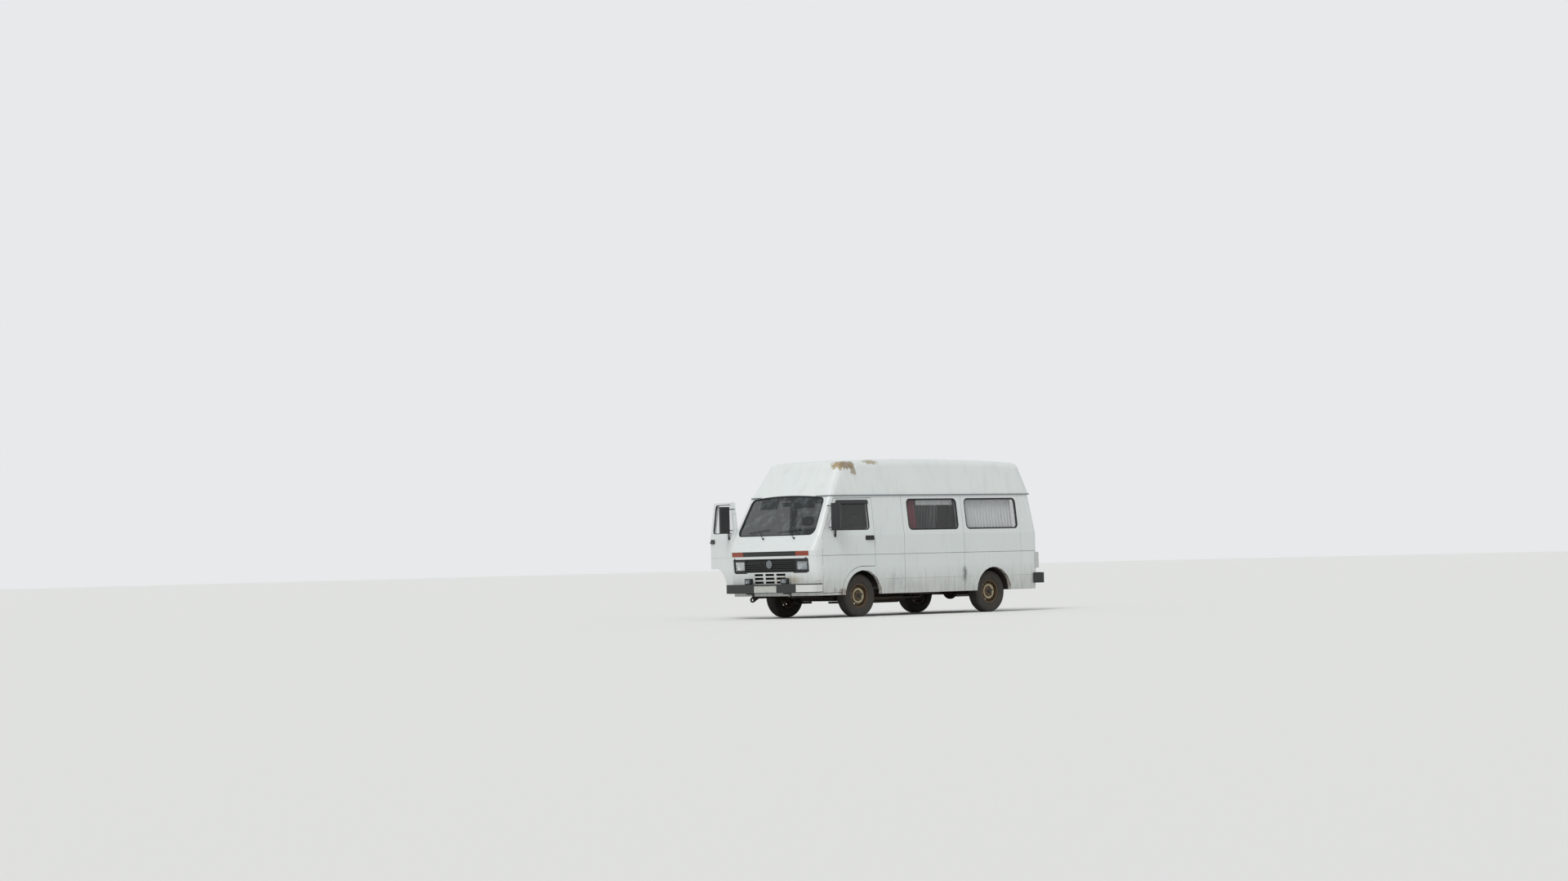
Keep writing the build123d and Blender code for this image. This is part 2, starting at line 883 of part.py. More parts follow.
# Front doors: the left one shut, the right one standing open about its hinge line
open_turn = Axis((hinge_x, -hinge_y, 0), (0, 0, 1))
for side_name, side in (("left", 1), ("right", -1)):
    low_y, high_y = sorted((0.0, side * reach_y))
    leaf = front_door_block(0, low_y, high_y)
    window = across(door_window, low_y, high_y, window_corner)
    with BuildPart() as front_door:
        add(door_walls)
        add(leaf, mode=Mode.INTERSECT)
        add(window, mode=Mode.SUBTRACT)
        add(hinge_barrels(hinge_x, side * hinge_y, hinge_heights, fixed=False))
        room = hinge_room(hinge_x, side * hinge_y, hinge_heights, moving=True)
        add(room, mode=Mode.SUBTRACT)
        add(handle_pocket(side_plane(front_handle, side)), mode=Mode.SUBTRACT)
        add(pull_handle(side_plane(front_handle, side)))
    with BuildPart() as door_glass:
        add(glazing)
        add(window, mode=Mode.INTERSECT)
    mirror_arm_z = (mirror_low + mirror_arm_inset, mirror_low + mirror_height - mirror_arm_inset)
    with BuildPart() as mirror:
        with BuildSketch(Plane.XY.offset(mirror_low)):
            with Locations((mirror_x, side * mirror_y)):
                RectangleRounded(mirror_depth, mirror_width, mirror_depth / 3)
        extrude(amount=mirror_height)
        for z in mirror_arm_z:
            skin_y = half_width - (z - belt_z) * side_slope
            start = (mirror_x + mirror_foot, side * skin_y, z)
            add(rod(start, (mirror_x, side * mirror_y, z), mirror_arm_radius))
    pieces = (
        (front_door.part, f"door_front_{side_name}"),
        (door_glass.part, f"door_glass_{side_name}"),
        (mirror.part, f"mirror_{side_name}"),
    )
    for piece, name in pieces:
        if side < 0:
            piece = piece.rotate(open_turn, door_open_right)
        save(piece, name)


# Wipers, parked low on the windscreen: pivot, arm and blade
def screen_point(y, z, lift):
    """Point over the front skin above the belt line or just below it, by its bow and its rake."""
    rake = screen_slope if z > belt_z else (shoulder_front - belt_front) / (belt_z - shoulder_z)
    return (belt_front - (z - belt_z) * rake - front_bow * (y / half_width) ** 2 + lift, y, z)


with BuildPart() as wipers:
    for y in wiper_y:
        tip_y, tip_z = y + wiper_arm[0], wiper_pivot_z + wiper_arm[1]
        pivot = screen_point(y, wiper_pivot_z, 0)
        crank = screen_point(y, wiper_pivot_z, wiper_pivot_height)
        tip = screen_point(tip_y, tip_z, wiper_lift)
        add(rod(pivot, crank, wiper_pivot_radius))
        add(rod(crank, tip, wiper_arm_radius))
        low_end = screen_point(tip_y - wiper_blade_half, tip_z - wiper_blade_rise, wiper_lift)
        high_end = screen_point(tip_y + wiper_blade_half, tip_z + wiper_blade_rise, wiper_lift)
        add(rod(low_end, tip, wiper_blade_radius))
        add(rod(tip, high_end, wiper_blade_radius))
    add(outer, mode=Mode.SUBTRACT)
save(wipers.part, "wipers")


# Tall roof
def roof_block(inset):
    """Tall roof as a solid block under a crown that curves both ways."""
    centre = Axis((crown_x, 0, roof_top_z - crown_radius), (0, 1, 0))
    rim = roof_top_z - crown_drop - inset
    crown_turn = degrees(crown_length / crown_radius)
    with BuildPart() as crown:
        with BuildSketch(Plane.YZ.offset(crown_x)):
            with BuildLine():
                ThreePointArc((-crown_reach, rim), (0, roof_top_z - inset), (crown_reach, rim))
                Line((crown_reach, rim), (crown_reach, belt_z))
                Line((crown_reach, belt_z), (-crown_reach, belt_z))
                Line((-crown_reach, belt_z), (-crown_reach, rim))
            make_face()
        revolve(axis=centre, revolution_arc=crown_turn)
    with BuildPart() as block:
        loft([plan_outline(*station, inset) for station in roof_stations], ruled=True)
        add(crown.part.rotate(centre, -crown_turn / 2), mode=Mode.INTERSECT)
        fillet(block.faces().sort_by(Axis.Z)[-1].edges(), roof_rim - inset)
    return block.part


with BuildPart() as high_roof:
    add(roof_block(0))
    with BuildSketch(Plane.XY.offset(drip_z)):
        gutter_station = (drip_z, drip_half_width, drip_front, roof_rear, roof_corner, roof_corner)
        add(plan_outline(*gutter_station, -gutter))
    extrude(amount=gutter_height)
    add(roof_block(roof_wall), mode=Mode.SUBTRACT)
    add(header_arch, mode=Mode.SUBTRACT)
save(high_roof.part, "high_roof")


def nose_layer(depth, thickness):
    """Layer behind the front face, following its bow."""
    with BuildPart() as layer:
        add(envelope(body_stations, depth))
        add(envelope(body_stations, depth + thickness), mode=Mode.SUBTRACT)
    return layer.part


def nose_cut(outlines, radius=panel_radius):
    """Prisms through the front face over rounded rectangles, each low Y, low Z, high Y, high Z."""
    with BuildPart() as cut:
        for low_y, low_z, high_y, high_z in outlines:
            with BuildSketch(Plane.YZ.offset(nose_joint)):
                with Locations(((low_y + high_y) / 2, (low_z + high_z) / 2)):
                    RectangleRounded(high_y - low_y, high_z - low_z, radius)
            extrude(amount=reach_x)
    return cut.part


# Grille: slats behind the front face, with room for the lamps and a blank round boss
lamp_outlines = [
    (lamp_y[0], lamp_z[0], lamp_y[1], lamp_z[1]),
    (-lamp_y[1], lamp_z[0], -lamp_y[0], lamp_z[1]),
]
grille_outline = (-grille_half, grille_low, grille_half, grille_high)
slat_pitch = (grille_high - grille_low - grille_border) / grille_slats
slat_gaps = [
    (
        grille_border - lamp_y[0],
        grille_low + grille_border + i * slat_pitch,
        lamp_y[0] - grille_border,
        grille_low + (i + 1) * slat_pitch,
    )
    for i in range(grille_slats)
]
lens_outlines = [
    (lens_inner_y, strip_low, strip_half, strip_high),
    (-strip_half, strip_low, -lens_inner_y, strip_high),
]
strip_middle = (lens_joint - lens_inner_y, strip_low, lens_inner_y - lens_joint, strip_high)
strip_sheet = nose_layer(lens_depth, lens_thickness)
grille_sheet = nose_layer(grille_depth, grille_thickness)
with BuildPart() as strip_panel:
    add(strip_sheet)
    add(nose_cut([strip_middle], slat_radius), mode=Mode.INTERSECT)
with BuildPart() as grille:
    add(grille_sheet)
    add(nose_cut([grille_outline]), mode=Mode.INTERSECT)
    add(nose_cut(slat_gaps, slat_radius), mode=Mode.SUBTRACT)
    add(nose_cut(lamp_outlines), mode=Mode.SUBTRACT)
    with BuildSketch(Plane.YZ.offset(grille_front - grille_depth - grille_thickness)):
        with Locations((0, emblem_z)):
            Circle(emblem_radius)
    extrude(amount=grille_thickness + emblem_height)
    add(strip_panel.part)
save(grille.part, "grille")

lamp_sheet = nose_layer(grille_depth, lamp_depth)
with BuildPart() as headlamps:
    add(lamp_sheet)
    add(nose_cut(lamp_outlines), mode=Mode.INTERSECT)
save(headlamps.part, "headlamps")

with BuildPart() as turn_signals:
    add(strip_sheet)
    add(nose_cut([(-strip_half, strip_low, strip_half, strip_high)]), mode=Mode.INTERSECT)
    add(nose_cut(lens_outlines, slat_radius), mode=Mode.INTERSECT)
save(turn_signals.part, "turn_signals")

# Front bumper: a bar that follows the nose and wraps round its corners
bumper_outline = (bumper_low, bumper_half, bumper_front, 0, bumper_corner, rear_bumper_corner)
bumper_room = (
    bumper_low,
    half_width + bumper_clearance,
    bumper_front - bumper_wall,
    0,
    front_corner,
    rear_bumper_corner,
)
with BuildPart() as front_bumper:
    with BuildSketch(Plane.XY.offset(bumper_low)):
        add(plan_outline(*bumper_outline, 0))
        add(plan_outline(*bumper_room, 0), mode=Mode.SUBTRACT)
        with Locations((bumper_end_x - wheelbase, 0)):
            Rectangle(2 * wheelbase, 2 * reach_y, mode=Mode.SUBTRACT)
    extrude(amount=bumper_high - bumper_low)
    for side in (1, -1):
        inner_y, outer_y = side * rail_y - rail_width / 2, side * rail_y + rail_width / 2
        plate_x = bumper_front - bumper_wall - 2 * bracket_wall
        low = (rail_front, inner_y, cab_rail_top - bracket_wall)
        add(box_between(low, (plate_x, outer_y, cab_rail_top)))
        low = (plate_x, inner_y, cab_rail_top - bracket_wall)
        add(box_between(low, (bumper_front - bumper_wall / 2, outer_y, bracket_high)))
    low = (bumper_front - 2 * plate_recess, front_plate[0] - plate_half, front_plate[1])
    high = (reach_x, front_plate[0] + plate_half, front_plate[2])
    add(box_between(low, high), mode=Mode.SUBTRACT)
save(front_bumper.part, "front_bumper")

with BuildPart() as fog_lamps:
    for side in (1, -1):
        with BuildSketch(Plane.YZ.offset(bumper_front - fog_set_back - fog_depth)):
            with Locations((side * fog_y, bumper_high + fog_height / 2)):
                RectangleRounded(fog_width, fog_height, panel_radius)
        extrude(amount=fog_depth)
save(fog_lamps.part, "fog_lamps")

# Rear bumper below the doors, with short wrapped ends
rear_end = rear_x - rear_bumper_reach
with BuildPart() as rear_bumper:
    with BuildSketch(Plane.XY.offset(rear_bumper_low)) as rear_bar:
        with Locations(((rear_end + rear_bumper_end) / 2, 0)):
            Rectangle(rear_bumper_end - rear_end, 2 * bumper_half)
        fillet(rear_bar.vertices().sort_by(Axis.X)[:2], rear_bumper_corner)
        with Locations(((rear_end + bumper_wall + rear_bumper_end) / 2, 0)):
            Rectangle(
                rear_bumper_end - rear_end - bumper_wall,
                2 * (bumper_half - rear_bumper_wall),
                mode=Mode.SUBTRACT,
            )
    extrude(amount=rear_bumper_high - rear_bumper_low)
    low = (rear_end + bumper_wall / 2, -step_half, rear_bumper_high - step_thickness)
    add(box_between(low, (rear_x - rear_bumper_wall, step_half, rear_bumper_high)))
    for side in (1, -1):
        low = (rear_end + bumper_wall / 2, side * rail_y - rail_width / 2, rail_bottom)
        high = (rail_rear, side * rail_y + rail_width / 2, rear_bracket_high)
        add(box_between(low, high))
save(rear_bumper.part, "rear_bumper")

with BuildPart() as tail_lamps:
    for side in (1, -1):
        with BuildSketch(Plane.YZ.offset(rear_x - tail_lamp_depth)):
            with Locations((side * tail_lamp_y, (tail_lamp_z[0] + tail_lamp_z[1]) / 2)):
                RectangleRounded(tail_lamp_width, tail_lamp_z[1] - tail_lamp_z[0], panel_radius)
        extrude(amount=tail_lamp_depth + rear_corner)
    add(outer, mode=Mode.SUBTRACT)
save(tail_lamps.part, "tail_lamps")

# Chassis: two rails that step down under the footwell, crossmembers and jacking pads
rail_profile = (
    (rail_rear, rail_bottom),
    (rail_rear, rail_top),
    (seat_box_front, rail_top),
    (seat_box_front, cab_rail_top),
    (rail_front, cab_rail_top),
    (rail_front, cab_rail_top - rail_height),
    (seat_box_front - rail_width, cab_rail_top - rail_height),
    (seat_box_front - rail_width, rail_bottom),
)
with BuildPart() as chassis_frame:
    for side in (1, -1):
        inner_y, outer_y = side * rail_y - rail_width / 2, side * rail_y + rail_width / 2
        add(across(rail_profile, inner_y, outer_y))
    for x in rear_crossmember_x:
        low = (x - rail_width / 2, -rail_y, rail_top - crossmember_height)
        add(box_between(low, (x + rail_width / 2, rail_y, rail_top)))
    low = (cab_crossmember_x, -rail_y, cab_rail_top - crossmember_height)
    add(box_between(low, (cab_crossmember_x + rail_width, rail_y, cab_rail_top)))
    for x in jack_x:
        for side in (1, -1):
            low = (x - jack_pad / 2, side * rail_y - jack_pad / 2, rail_bottom - jack_pad_height)
            high = (x + jack_pad / 2, side * rail_y + jack_pad / 2, rail_bottom)
            add(box_between(low, high))
save(chassis_frame.part, "chassis_frame")

# Towing eyes, hanging from the left rail at the front and at the rear
with BuildPart() as tow_eyes:
    for x, root_x, root_z in (
        (tow_front_x, rail_front - rail_width, cab_rail_top - rail_height / 2),
        (tow_rear_x, tow_rear_x, rail_bottom + rail_height / 2),
    ):
        with BuildSketch(Plane.XZ.offset(rail_y - tow_width / 2)):
            with Locations((x, tow_z), (root_x, root_z)):
                Circle(tow_outer)
            make_hull()
            with Locations((x, tow_z)):
                Circle(tow_bore, mode=Mode.SUBTRACT)
        extrude(amount=tow_width)
    add(chassis_frame.part, mode=Mode.SUBTRACT)
save(tow_eyes.part, "tow_eyes")

# Floor: load floor on the rails, cab floor with seat boxes and footwell, rear wheel housings
housing_radius = arch_radius + housing_clearance
floor_joint = seat_box_rear - floor_thickness
cab_floor_profile = (
    (floor_joint, floor_z - floor_thickness),
    (floor_joint, seat_box_z),
    (seat_box_front + floor_thickness, seat_box_z),
    (seat_box_front + floor_thickness, cab_floor_z),
    (reach_x, cab_floor_z),
    (reach_x, cab_floor_z - floor_thickness),
    (seat_box_front, cab_floor_z - floor_thickness),
    (seat_box_front, seat_box_z - floor_thickness),
    (seat_box_rear, seat_box_z - floor_thickness),
    (seat_box_rear, floor_z - floor_thickness),
)
tunnel_half = engine_half + cover_clearance
tunnel_rear = engine_rear - cover_clearance
tunnel_front = engine_front + cover_clearance
inner_body = envelope(body_stations, wall)


def housing_round(radius, inner_y, outer_y):
    """Half-round blocks over both rear wheels, between two distances from the centreline."""
    with BuildPart() as rounds:
        for side in (1, -1):
            with BuildSketch(Plane.XZ.offset(-side * inner_y)):
                with Locations((-wheelbase, hub_z)):
                    Circle(radius)
                    Rectangle(
                        4 * radius,
                        4 * radius,
                        align=(Align.CENTER, Align.MAX),
                        mode=Mode.SUBTRACT,
                    )
            extrude(amount=-side * (outer_y - inner_y))
    return rounds.part


axle_room = axle_tube_radius + pipe_clearance
with BuildPart() as wheel_housings:
    add(housing_round(housing_radius + sheet, housing_inner_y, reach_y))
    add(housing_round(housing_radius, housing_inner_y + sheet, 2 * reach_y), mode=Mode.SUBTRACT)
    add(inner_body, mode=Mode.INTERSECT)
    low = (-wheelbase - axle_room, -housing_inner_y - 2 * sheet, 0)
    high = (-wheelbase + axle_room, housing_inner_y + 2 * sheet, hub_z + axle_room)
    add(box_between(low, high), mode=Mode.SUBTRACT)
save(wheel_housings.part, "wheel_housings")

with BuildPart() as floor_pan:
    add(box_between((rear_x, -reach_y, floor_z - floor_thickness), (floor_joint, reach_y, floor_z)))
    add(housing_round(housing_radius + sheet, housing_inner_y, reach_y), mode=Mode.SUBTRACT)
    add(inner_body, mode=Mode.INTERSECT)
save(floor_pan.part, "floor_pan")

with BuildPart() as cab_floor:
    add(across(cab_floor_profile, -reach_y, reach_y))
    for side in (1, -1):
        low_y, high_y = sorted((side * housing_inner_y, side * (housing_inner_y + sheet)))
        low = (seat_box_rear, low_y, floor_z - floor_thickness)
        add(box_between(low, (seat_box_front, high_y, seat_box_z - floor_thickness)))
    low = (toe_board_x, -reach_y, cab_floor_z - floor_thickness)
    add(box_between(low, (toe_board_x + sheet, reach_y, toe_board_high)))
    add(inner_body, mode=Mode.INTERSECT)
    for side in (1, -1):
        low_y, high_y = sorted((side * cab_floor_half, side * reach_y))
        add(box_between((door_rear - wall, low_y, 0), (reach_x, high_y, drip_z)), mode=Mode.SUBTRACT)
    low = (tunnel_rear, -tunnel_half, 0)
    add(box_between(low, (tunnel_front, tunnel_half, seat_box_z)), mode=Mode.SUBTRACT)
    low = (tunnel_rear - sheet, -tunnel_half - sheet, seat_box_z - floor_thickness)
    add(box_between(low, (tunnel_front + sheet, tunnel_half + sheet, cover_high)))
    low = (tunnel_rear, -tunnel_half, 0)
    add(box_between(low, (tunnel_front, tunnel_half, cover_high - sheet)), mode=Mode.SUBTRACT)
save(cab_floor.part, "cab_floor")

# Running gear. Stub axle and ball pins stand on the vertical steering line of each front wheel.
wishbone_z = (hub_z - wishbone_height, hub_z + wishbone_height)
with BuildPart() as front_axle:
    low = (-axle_beam_width / 2, -crossmember_half, axle_beam_z - axle_beam_height / 2)
    high = (axle_beam_width / 2, crossmember_half, axle_beam_z + axle_beam_height / 2)
    add(box_between(low, high))
    for side in (1, -1):
        low_y, high_y = sorted((side * (crossmember_half - rail_width), side * crossmember_half))
        low = (-axle_beam_width / 2, low_y, axle_beam_z)
        add(box_between(low, (axle_beam_width / 2, high_y, wishbone_z[1])))
        for z in wishbone_z:
            root_y = side * (crossmember_half - rail_width / 2)
            with BuildSketch(Plane.XY.offset(z - wishbone_half)):
                with BuildLine():
                    Polyline(
                        (-wishbone_root_x, root_y),
                        (wishbone_root_x, root_y),
                        (knuckle_radius, side * kingpin_y),
                        (-knuckle_radius, side * kingpin_y),
                        close=True,
                    )
                make_face()
                with Locations((0, side * kingpin_y)):
                    Circle(knuckle_radius)
                with Locations((0, side * wishbone_window_y)):
                    Circle(wishbone_window, mode=Mode.SUBTRACT)
                with Locations((0, side * kingpin_y)):
                    Circle(ball_pin_radius + bearing_gap, mode=Mode.SUBTRACT)
            extrude(amount=2 * wishbone_half)
save(front_axle.part, "front_axle")

pin_gap = 1.0
for side_name, side in (("left", 1), ("right", -1)):
    with BuildPart() as knuckle:
        with BuildSketch(Plane.XY.offset(wishbone_z[0] + wishbone_half + pin_gap)):
            with Locations((0, side * kingpin_y)):
                Circle(knuckle_radius)
        extrude(amount=2 * (wishbone_height - wishbone_half - pin_gap))
        with BuildSketch(Plane.XY.offset(wishbone_z[0] - wishbone_half)):
            with Locations((0, side * kingpin_y)):
                Circle(ball_pin_radius)
        extrude(amount=2 * (wishbone_height + wishbone_half))
        with BuildSketch(Plane.XZ.offset(-side * kingpin_y)):
            with Locations((0, hub_z)):
                Circle(spindle_radius)
        extrude(amount=-side * (wheel_y + spindle_reach - kingpin_y))
    save(knuckle.part, f"knuckle_{side_name}")

spring_z = hub_z + axle_tube_radius + spring_height / 2
spring_end_z = rail_bottom - spring_height / 2
with BuildPart() as rear_axle:
    spindle_end = wheel_y + spindle_reach
    with BuildSketch(Plane.XZ.offset(-spindle_end)):
        with Locations((-wheelbase, hub_z)):
            Circle(spindle_radius)
    extrude(amount=2 * spindle_end)
    with BuildSketch(Plane.XZ.offset(-rear_tube_half)):
        with Locations((-wheelbase, hub_z)):
            Circle(axle_tube_radius)
    extrude(amount=2 * rear_tube_half)
    with Locations((-wheelbase, 0, hub_z)):
        Sphere(differential_radius)
    for side in (1, -1):
        with BuildSketch(Plane.XZ.offset(-side * rear_tube_half)):
            with Locations((-wheelbase, hub_z)):
                Circle(drum_radius)
        extrude(amount=side * drum_width)
        with BuildSketch(Plane.XZ.offset(-side * spring_y - spring_width / 2)):
            with BuildLine():
                front_end = (spring_half_length - wheelbase, spring_end_z)
                back_end = (-spring_half_length - wheelbase, spring_end_z)
                ThreePointArc(front_end, (-wheelbase, spring_z), back_end)
                offset(amount=spring_height / 2)
            make_face()
        extrude(amount=spring_width)
save(rear_axle.part, "rear_axle")


# Wheels: pressed rim and tyre turned about the wheel's own axis, outer side towards +Y
def wheel_pieces():
    """Rim and tyre about a wheel centre at the origin."""
    flange = rim_radius + flange_height
    disc_y = rim_width / 2 - rim_disc_inset
    with BuildPart() as rim:
        with BuildSketch(Plane.XY):
            with BuildLine():
                Polyline(
                    (spindle_radius + bearing_gap, disc_y + hub_rise),
                    (hub_radius, disc_y + hub_rise),
                    (hub_radius + hub_rise, disc_y),
                    (disc_crown_radius - hub_rise, disc_y),
                    (disc_crown_radius, disc_y + disc_crown),
                    (rim_radius - 2 * rim_wall, disc_y - rim_disc_inset),
                    (rim_radius - rim_wall, disc_y - rim_disc_inset),
                    (rim_radius - rim_wall, rim_width / 2),
                    (flange, rim_width / 2),
                    (flange, rim_width / 2 - rim_wall),
                    (rim_radius, rim_width / 2 - rim_wall),
                    (rim_radius, rim_wall - rim_width / 2),
                    (flange, rim_wall - rim_width / 2),
                    (flange, -rim_width / 2),
                    (rim_radius - rim_wall, -rim_width / 2),
                    (rim_radius - rim_wall, disc_y - rim_disc_inset - rim_wall),
                    (rim_radius - 2 * rim_wall, disc_y - rim_disc_inset - rim_wall),
                    (disc_crown_radius, disc_y + disc_crown - rim_wall),
                    (disc_crown_radius - hub_rise, disc_y - rim_wall),
                    (spindle_radius + bearing_gap, disc_y - rim_wall),
                    close=True,
                )
            make_face()
        revolve(axis=Axis.Y)
        with BuildSketch(Plane.XZ.offset(-rim_width)):
            with PolarLocations(rim_hole_circle, rim_hole_count):
                Circle(rim_hole_radius)
        extrude(amount=2 * rim_width, mode=Mode.SUBTRACT)
    with BuildPart() as tyre:
        with BuildSketch(Plane.XY):
            with BuildLine():
                Line((rim_radius, -bead_half), (rim_radius, bead_half))
                Line((rim_radius, bead_half), (flange, bead_half))
                side_top = (tyre_radius - shoulder_drop, tread_half + shoulder_drop)
                bulge = ((flange + side_top[0]) / 2, tyre_width / 2)
                ThreePointArc((flange, bead_half), bulge, side_top)
                Line(side_top, (tyre_radius, tread_half))
                Line((tyre_radius, tread_half), (tyre_radius, -tread_half))
                Line((tyre_radius, -tread_half), (side_top[0], -side_top[1]))
                ThreePointArc((side_top[0], -side_top[1]), (bulge[0], -bulge[1]), (flange, -bead_half))
                Line((flange, -bead_half), (rim_radius, -bead_half))
            make_face()
        revolve(axis=Axis.Y)
    return rim.part, tyre.part


rim, tyre = wheel_pieces()
for end_name, x in (("front", wheel_x[0]), ("rear", wheel_x[1])):
    for side_name, side in (("left", 1), ("right", -1)):
        for piece, name in ((rim, "rim"), (tyre, "tyre")):
            turned = piece if side > 0 else piece.rotate(Axis.Z, 180)
            save(Pos(x, side * wheel_y, hub_z) * turned, f"{name}_{end_name}_{side_name}")

# Engine as one block with its gearbox, and the shaft back to the axle
with BuildPart() as engine:
    add(box_between((engine_rear, -engine_half, engine_low), (engine_front, engine_half, engine_high)))
    with BuildSketch(Plane.YZ.offset(engine_rear)):
        with Locations((0, shaft_z + gearbox_half / 2)):
            Rectangle(2 * bell_half, 2 * bell_half)
    with BuildSketch(Plane.YZ.offset(gearbox_rear)):
        with Locations((0, shaft_z)):
            Rectangle(gearbox_half, gearbox_half)
    loft()
save(engine.part, "engine")

with BuildPart() as drive_shaft:
    shaft_start = (gearbox_rear - shaft_gap, 0, shaft_z)
    shaft_end = (differential_radius + shaft_gap - wheelbase, 0, hub_z)
    add(rod(shaft_start, shaft_end, shaft_radius))
save(drive_shaft.part, "drive_shaft")

with BuildPart() as fuel_tank:
    with BuildSketch(Plane.YZ.offset(tank_rear)):
        with Locations(((tank_inner + tank_outer) / 2, (tank_low + rail_top) / 2)):
            RectangleRounded(tank_outer - tank_inner, rail_top - tank_low, tank_radius)
    extrude(amount=tank_front - tank_rear)
save(fuel_tank.part, "fuel_tank")

# Exhaust: down from the engine, back through the silencer, over the axle and out below the rear
over_axle_z = hub_z + axle_tube_radius + pipe_radius + pipe_clearance
pipe_points = (
    (engine_rear + pipe_inset, -engine_half + pipe_inset, engine_low),
    (engine_rear + pipe_inset, -engine_half + pipe_inset, pipe_z),
    (engine_rear - 2 * pipe_bend, pipe_y, pipe_z),
    (3 * pipe_bend - wheelbase, pipe_y, pipe_z),
    (pipe_bend - wheelbase, pipe_y, over_axle_z),
    (-pipe_bend - wheelbase, pipe_y, over_axle_z),
    (-3 * pipe_bend - wheelbase, pipe_y, pipe_z),
    (rear_x - pipe_inset, pipe_y, pipe_z),
)
with BuildPart() as exhaust:
    with BuildLine():
        FilletPolyline(*pipe_points, radius=2 * pipe_radius)
    with BuildSketch(Plane(origin=pipe_points[0], z_dir=(0, 0, -1))):
        Circle(pipe_radius)
    sweep()
    with BuildSketch(Plane.YZ.offset(silencer_rear)):
        with Locations((pipe_y, pipe_z)):
            Ellipse(silencer_width / 2, silencer_height / 2)
    extrude(amount=silencer_length)
save(exhaust.part, "exhaust")


# Cab fittings
def cushion(width, depth, height, radius):
    """Plain soft block with rounded edges, standing on its own origin."""
    with BuildPart() as pad:
        with BuildSketch():
            RectangleRounded(depth, width, radius)
        extrude(amount=height)
        fillet(pad.faces().sort_by(Axis.Z)[-1].edges(), radius * 0.6)
    return pad.part


seat_pad = cushion(seat_width, seat_depth, cushion_height, seat_softness)
seat_back = cushion(seat_width, backrest_depth, backrest_height, seat_softness)
seat_head = cushion(headrest_width, backrest_depth * 0.8, headrest_height, seat_softness * 0.8)
seat_pad_z = seat_box_z + seat_plinth
with BuildPart() as cab_seats:
    for side in (1, -1):
        y = side * seat_y
        x = seat_rear + backrest_depth + seat_gap + seat_depth / 2
        back_x = seat_rear + backrest_depth / 2
        add(Pos(x, y, seat_pad_z) * seat_pad)
        add(Pos(back_x, y, seat_pad_z) * seat_back)
        add(Pos(back_x, y, seat_pad_z + backrest_height + seat_gap) * seat_head)
save(cab_seats.part, "cab_seats")

with BuildPart() as seat_bases:
    for side in (1, -1):
        low = (seat_rear, side * seat_y - seat_width / 3, seat_box_z)
        high = (seat_rear + seat_depth, side * seat_y + seat_width / 3, seat_pad_z)
        add(box_between(low, high))
save(seat_bases.part, "seat_bases")

# Steering wheel, leaning back on its column, which enters the dashboard
wheel_face = Plane(
    origin=(steering_x, steering_y, steering_z),
    z_dir=(-sin(radians(steering_tilt)), 0, cos(radians(steering_tilt))),
)
with BuildPart(wheel_face) as steering_wheel:
    Torus(steering_radius, steering_rim)
    with BuildSketch(wheel_face.offset(-steering_rim / 2)):
        Circle(steering_hub)
        with PolarLocations(0, 3, start_angle=90):
            Rectangle(steering_radius, 2 * steering_rim, align=(Align.MIN, Align.CENTER))
    extrude(amount=steering_rim)
    with BuildSketch(wheel_face):
        Circle(steering_column)
    extrude(amount=-column_length)
save(steering_wheel.part, "steering_wheel")

dash_front_inset = wall + dash_clearance
dash_core = envelope(body_stations, dash_front_inset)
with BuildPart() as dashboard:
    add(dash_core)
    with BuildPart(mode=Mode.PRIVATE) as dash_form:
        add(
            across(
                (
                    (reach_x, dash_low),
                    (dash_rear + dash_slope, dash_low),
                    (dash_rear, dash_low + dash_slope),
                    (dash_rear, dash_high - dash_slope),
                    (dash_rear + dash_slope, dash_high),
                    (reach_x, dash_high),
                ),
                -dash_half,
                dash_half,
            )
        )
    add(dash_form.part, mode=Mode.INTERSECT)
    with BuildSketch(wheel_face):
        Circle(steering_column + bearing_gap)
    extrude(amount=-reach_y, mode=Mode.SUBTRACT)
save(dashboard.part, "dashboard")

# Curtains drawn behind the side windows
with BuildPart() as curtains:
    add(envelope(body_stations, wall + curtain_depth))
    add(envelope(body_stations, wall + curtain_depth + curtain_wall), mode=Mode.SUBTRACT)
    with BuildPart(mode=Mode.PRIVATE) as drawn:
        for front, rear, low_z, high_z, side in curtain_table:
            low_y, high_y = sorted((0.0, side * reach_y))
            add(box_between((rear, low_y, low_z), (front, high_y, high_z)))
    add(drawn.part, mode=Mode.INTERSECT)
save(curtains.part, "curtains")
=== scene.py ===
# %% [markdown]
# A high-roof camper van, dressed around its CAD frame.
# The frame brings every rigid form of the van at its real place, in metres: X points forward,
# Y to the van's left, and Z up from the ground.
# Each cell adds one finish or one piece to it, so the notebook can be read from the top down.

# %% Open the frame
import math

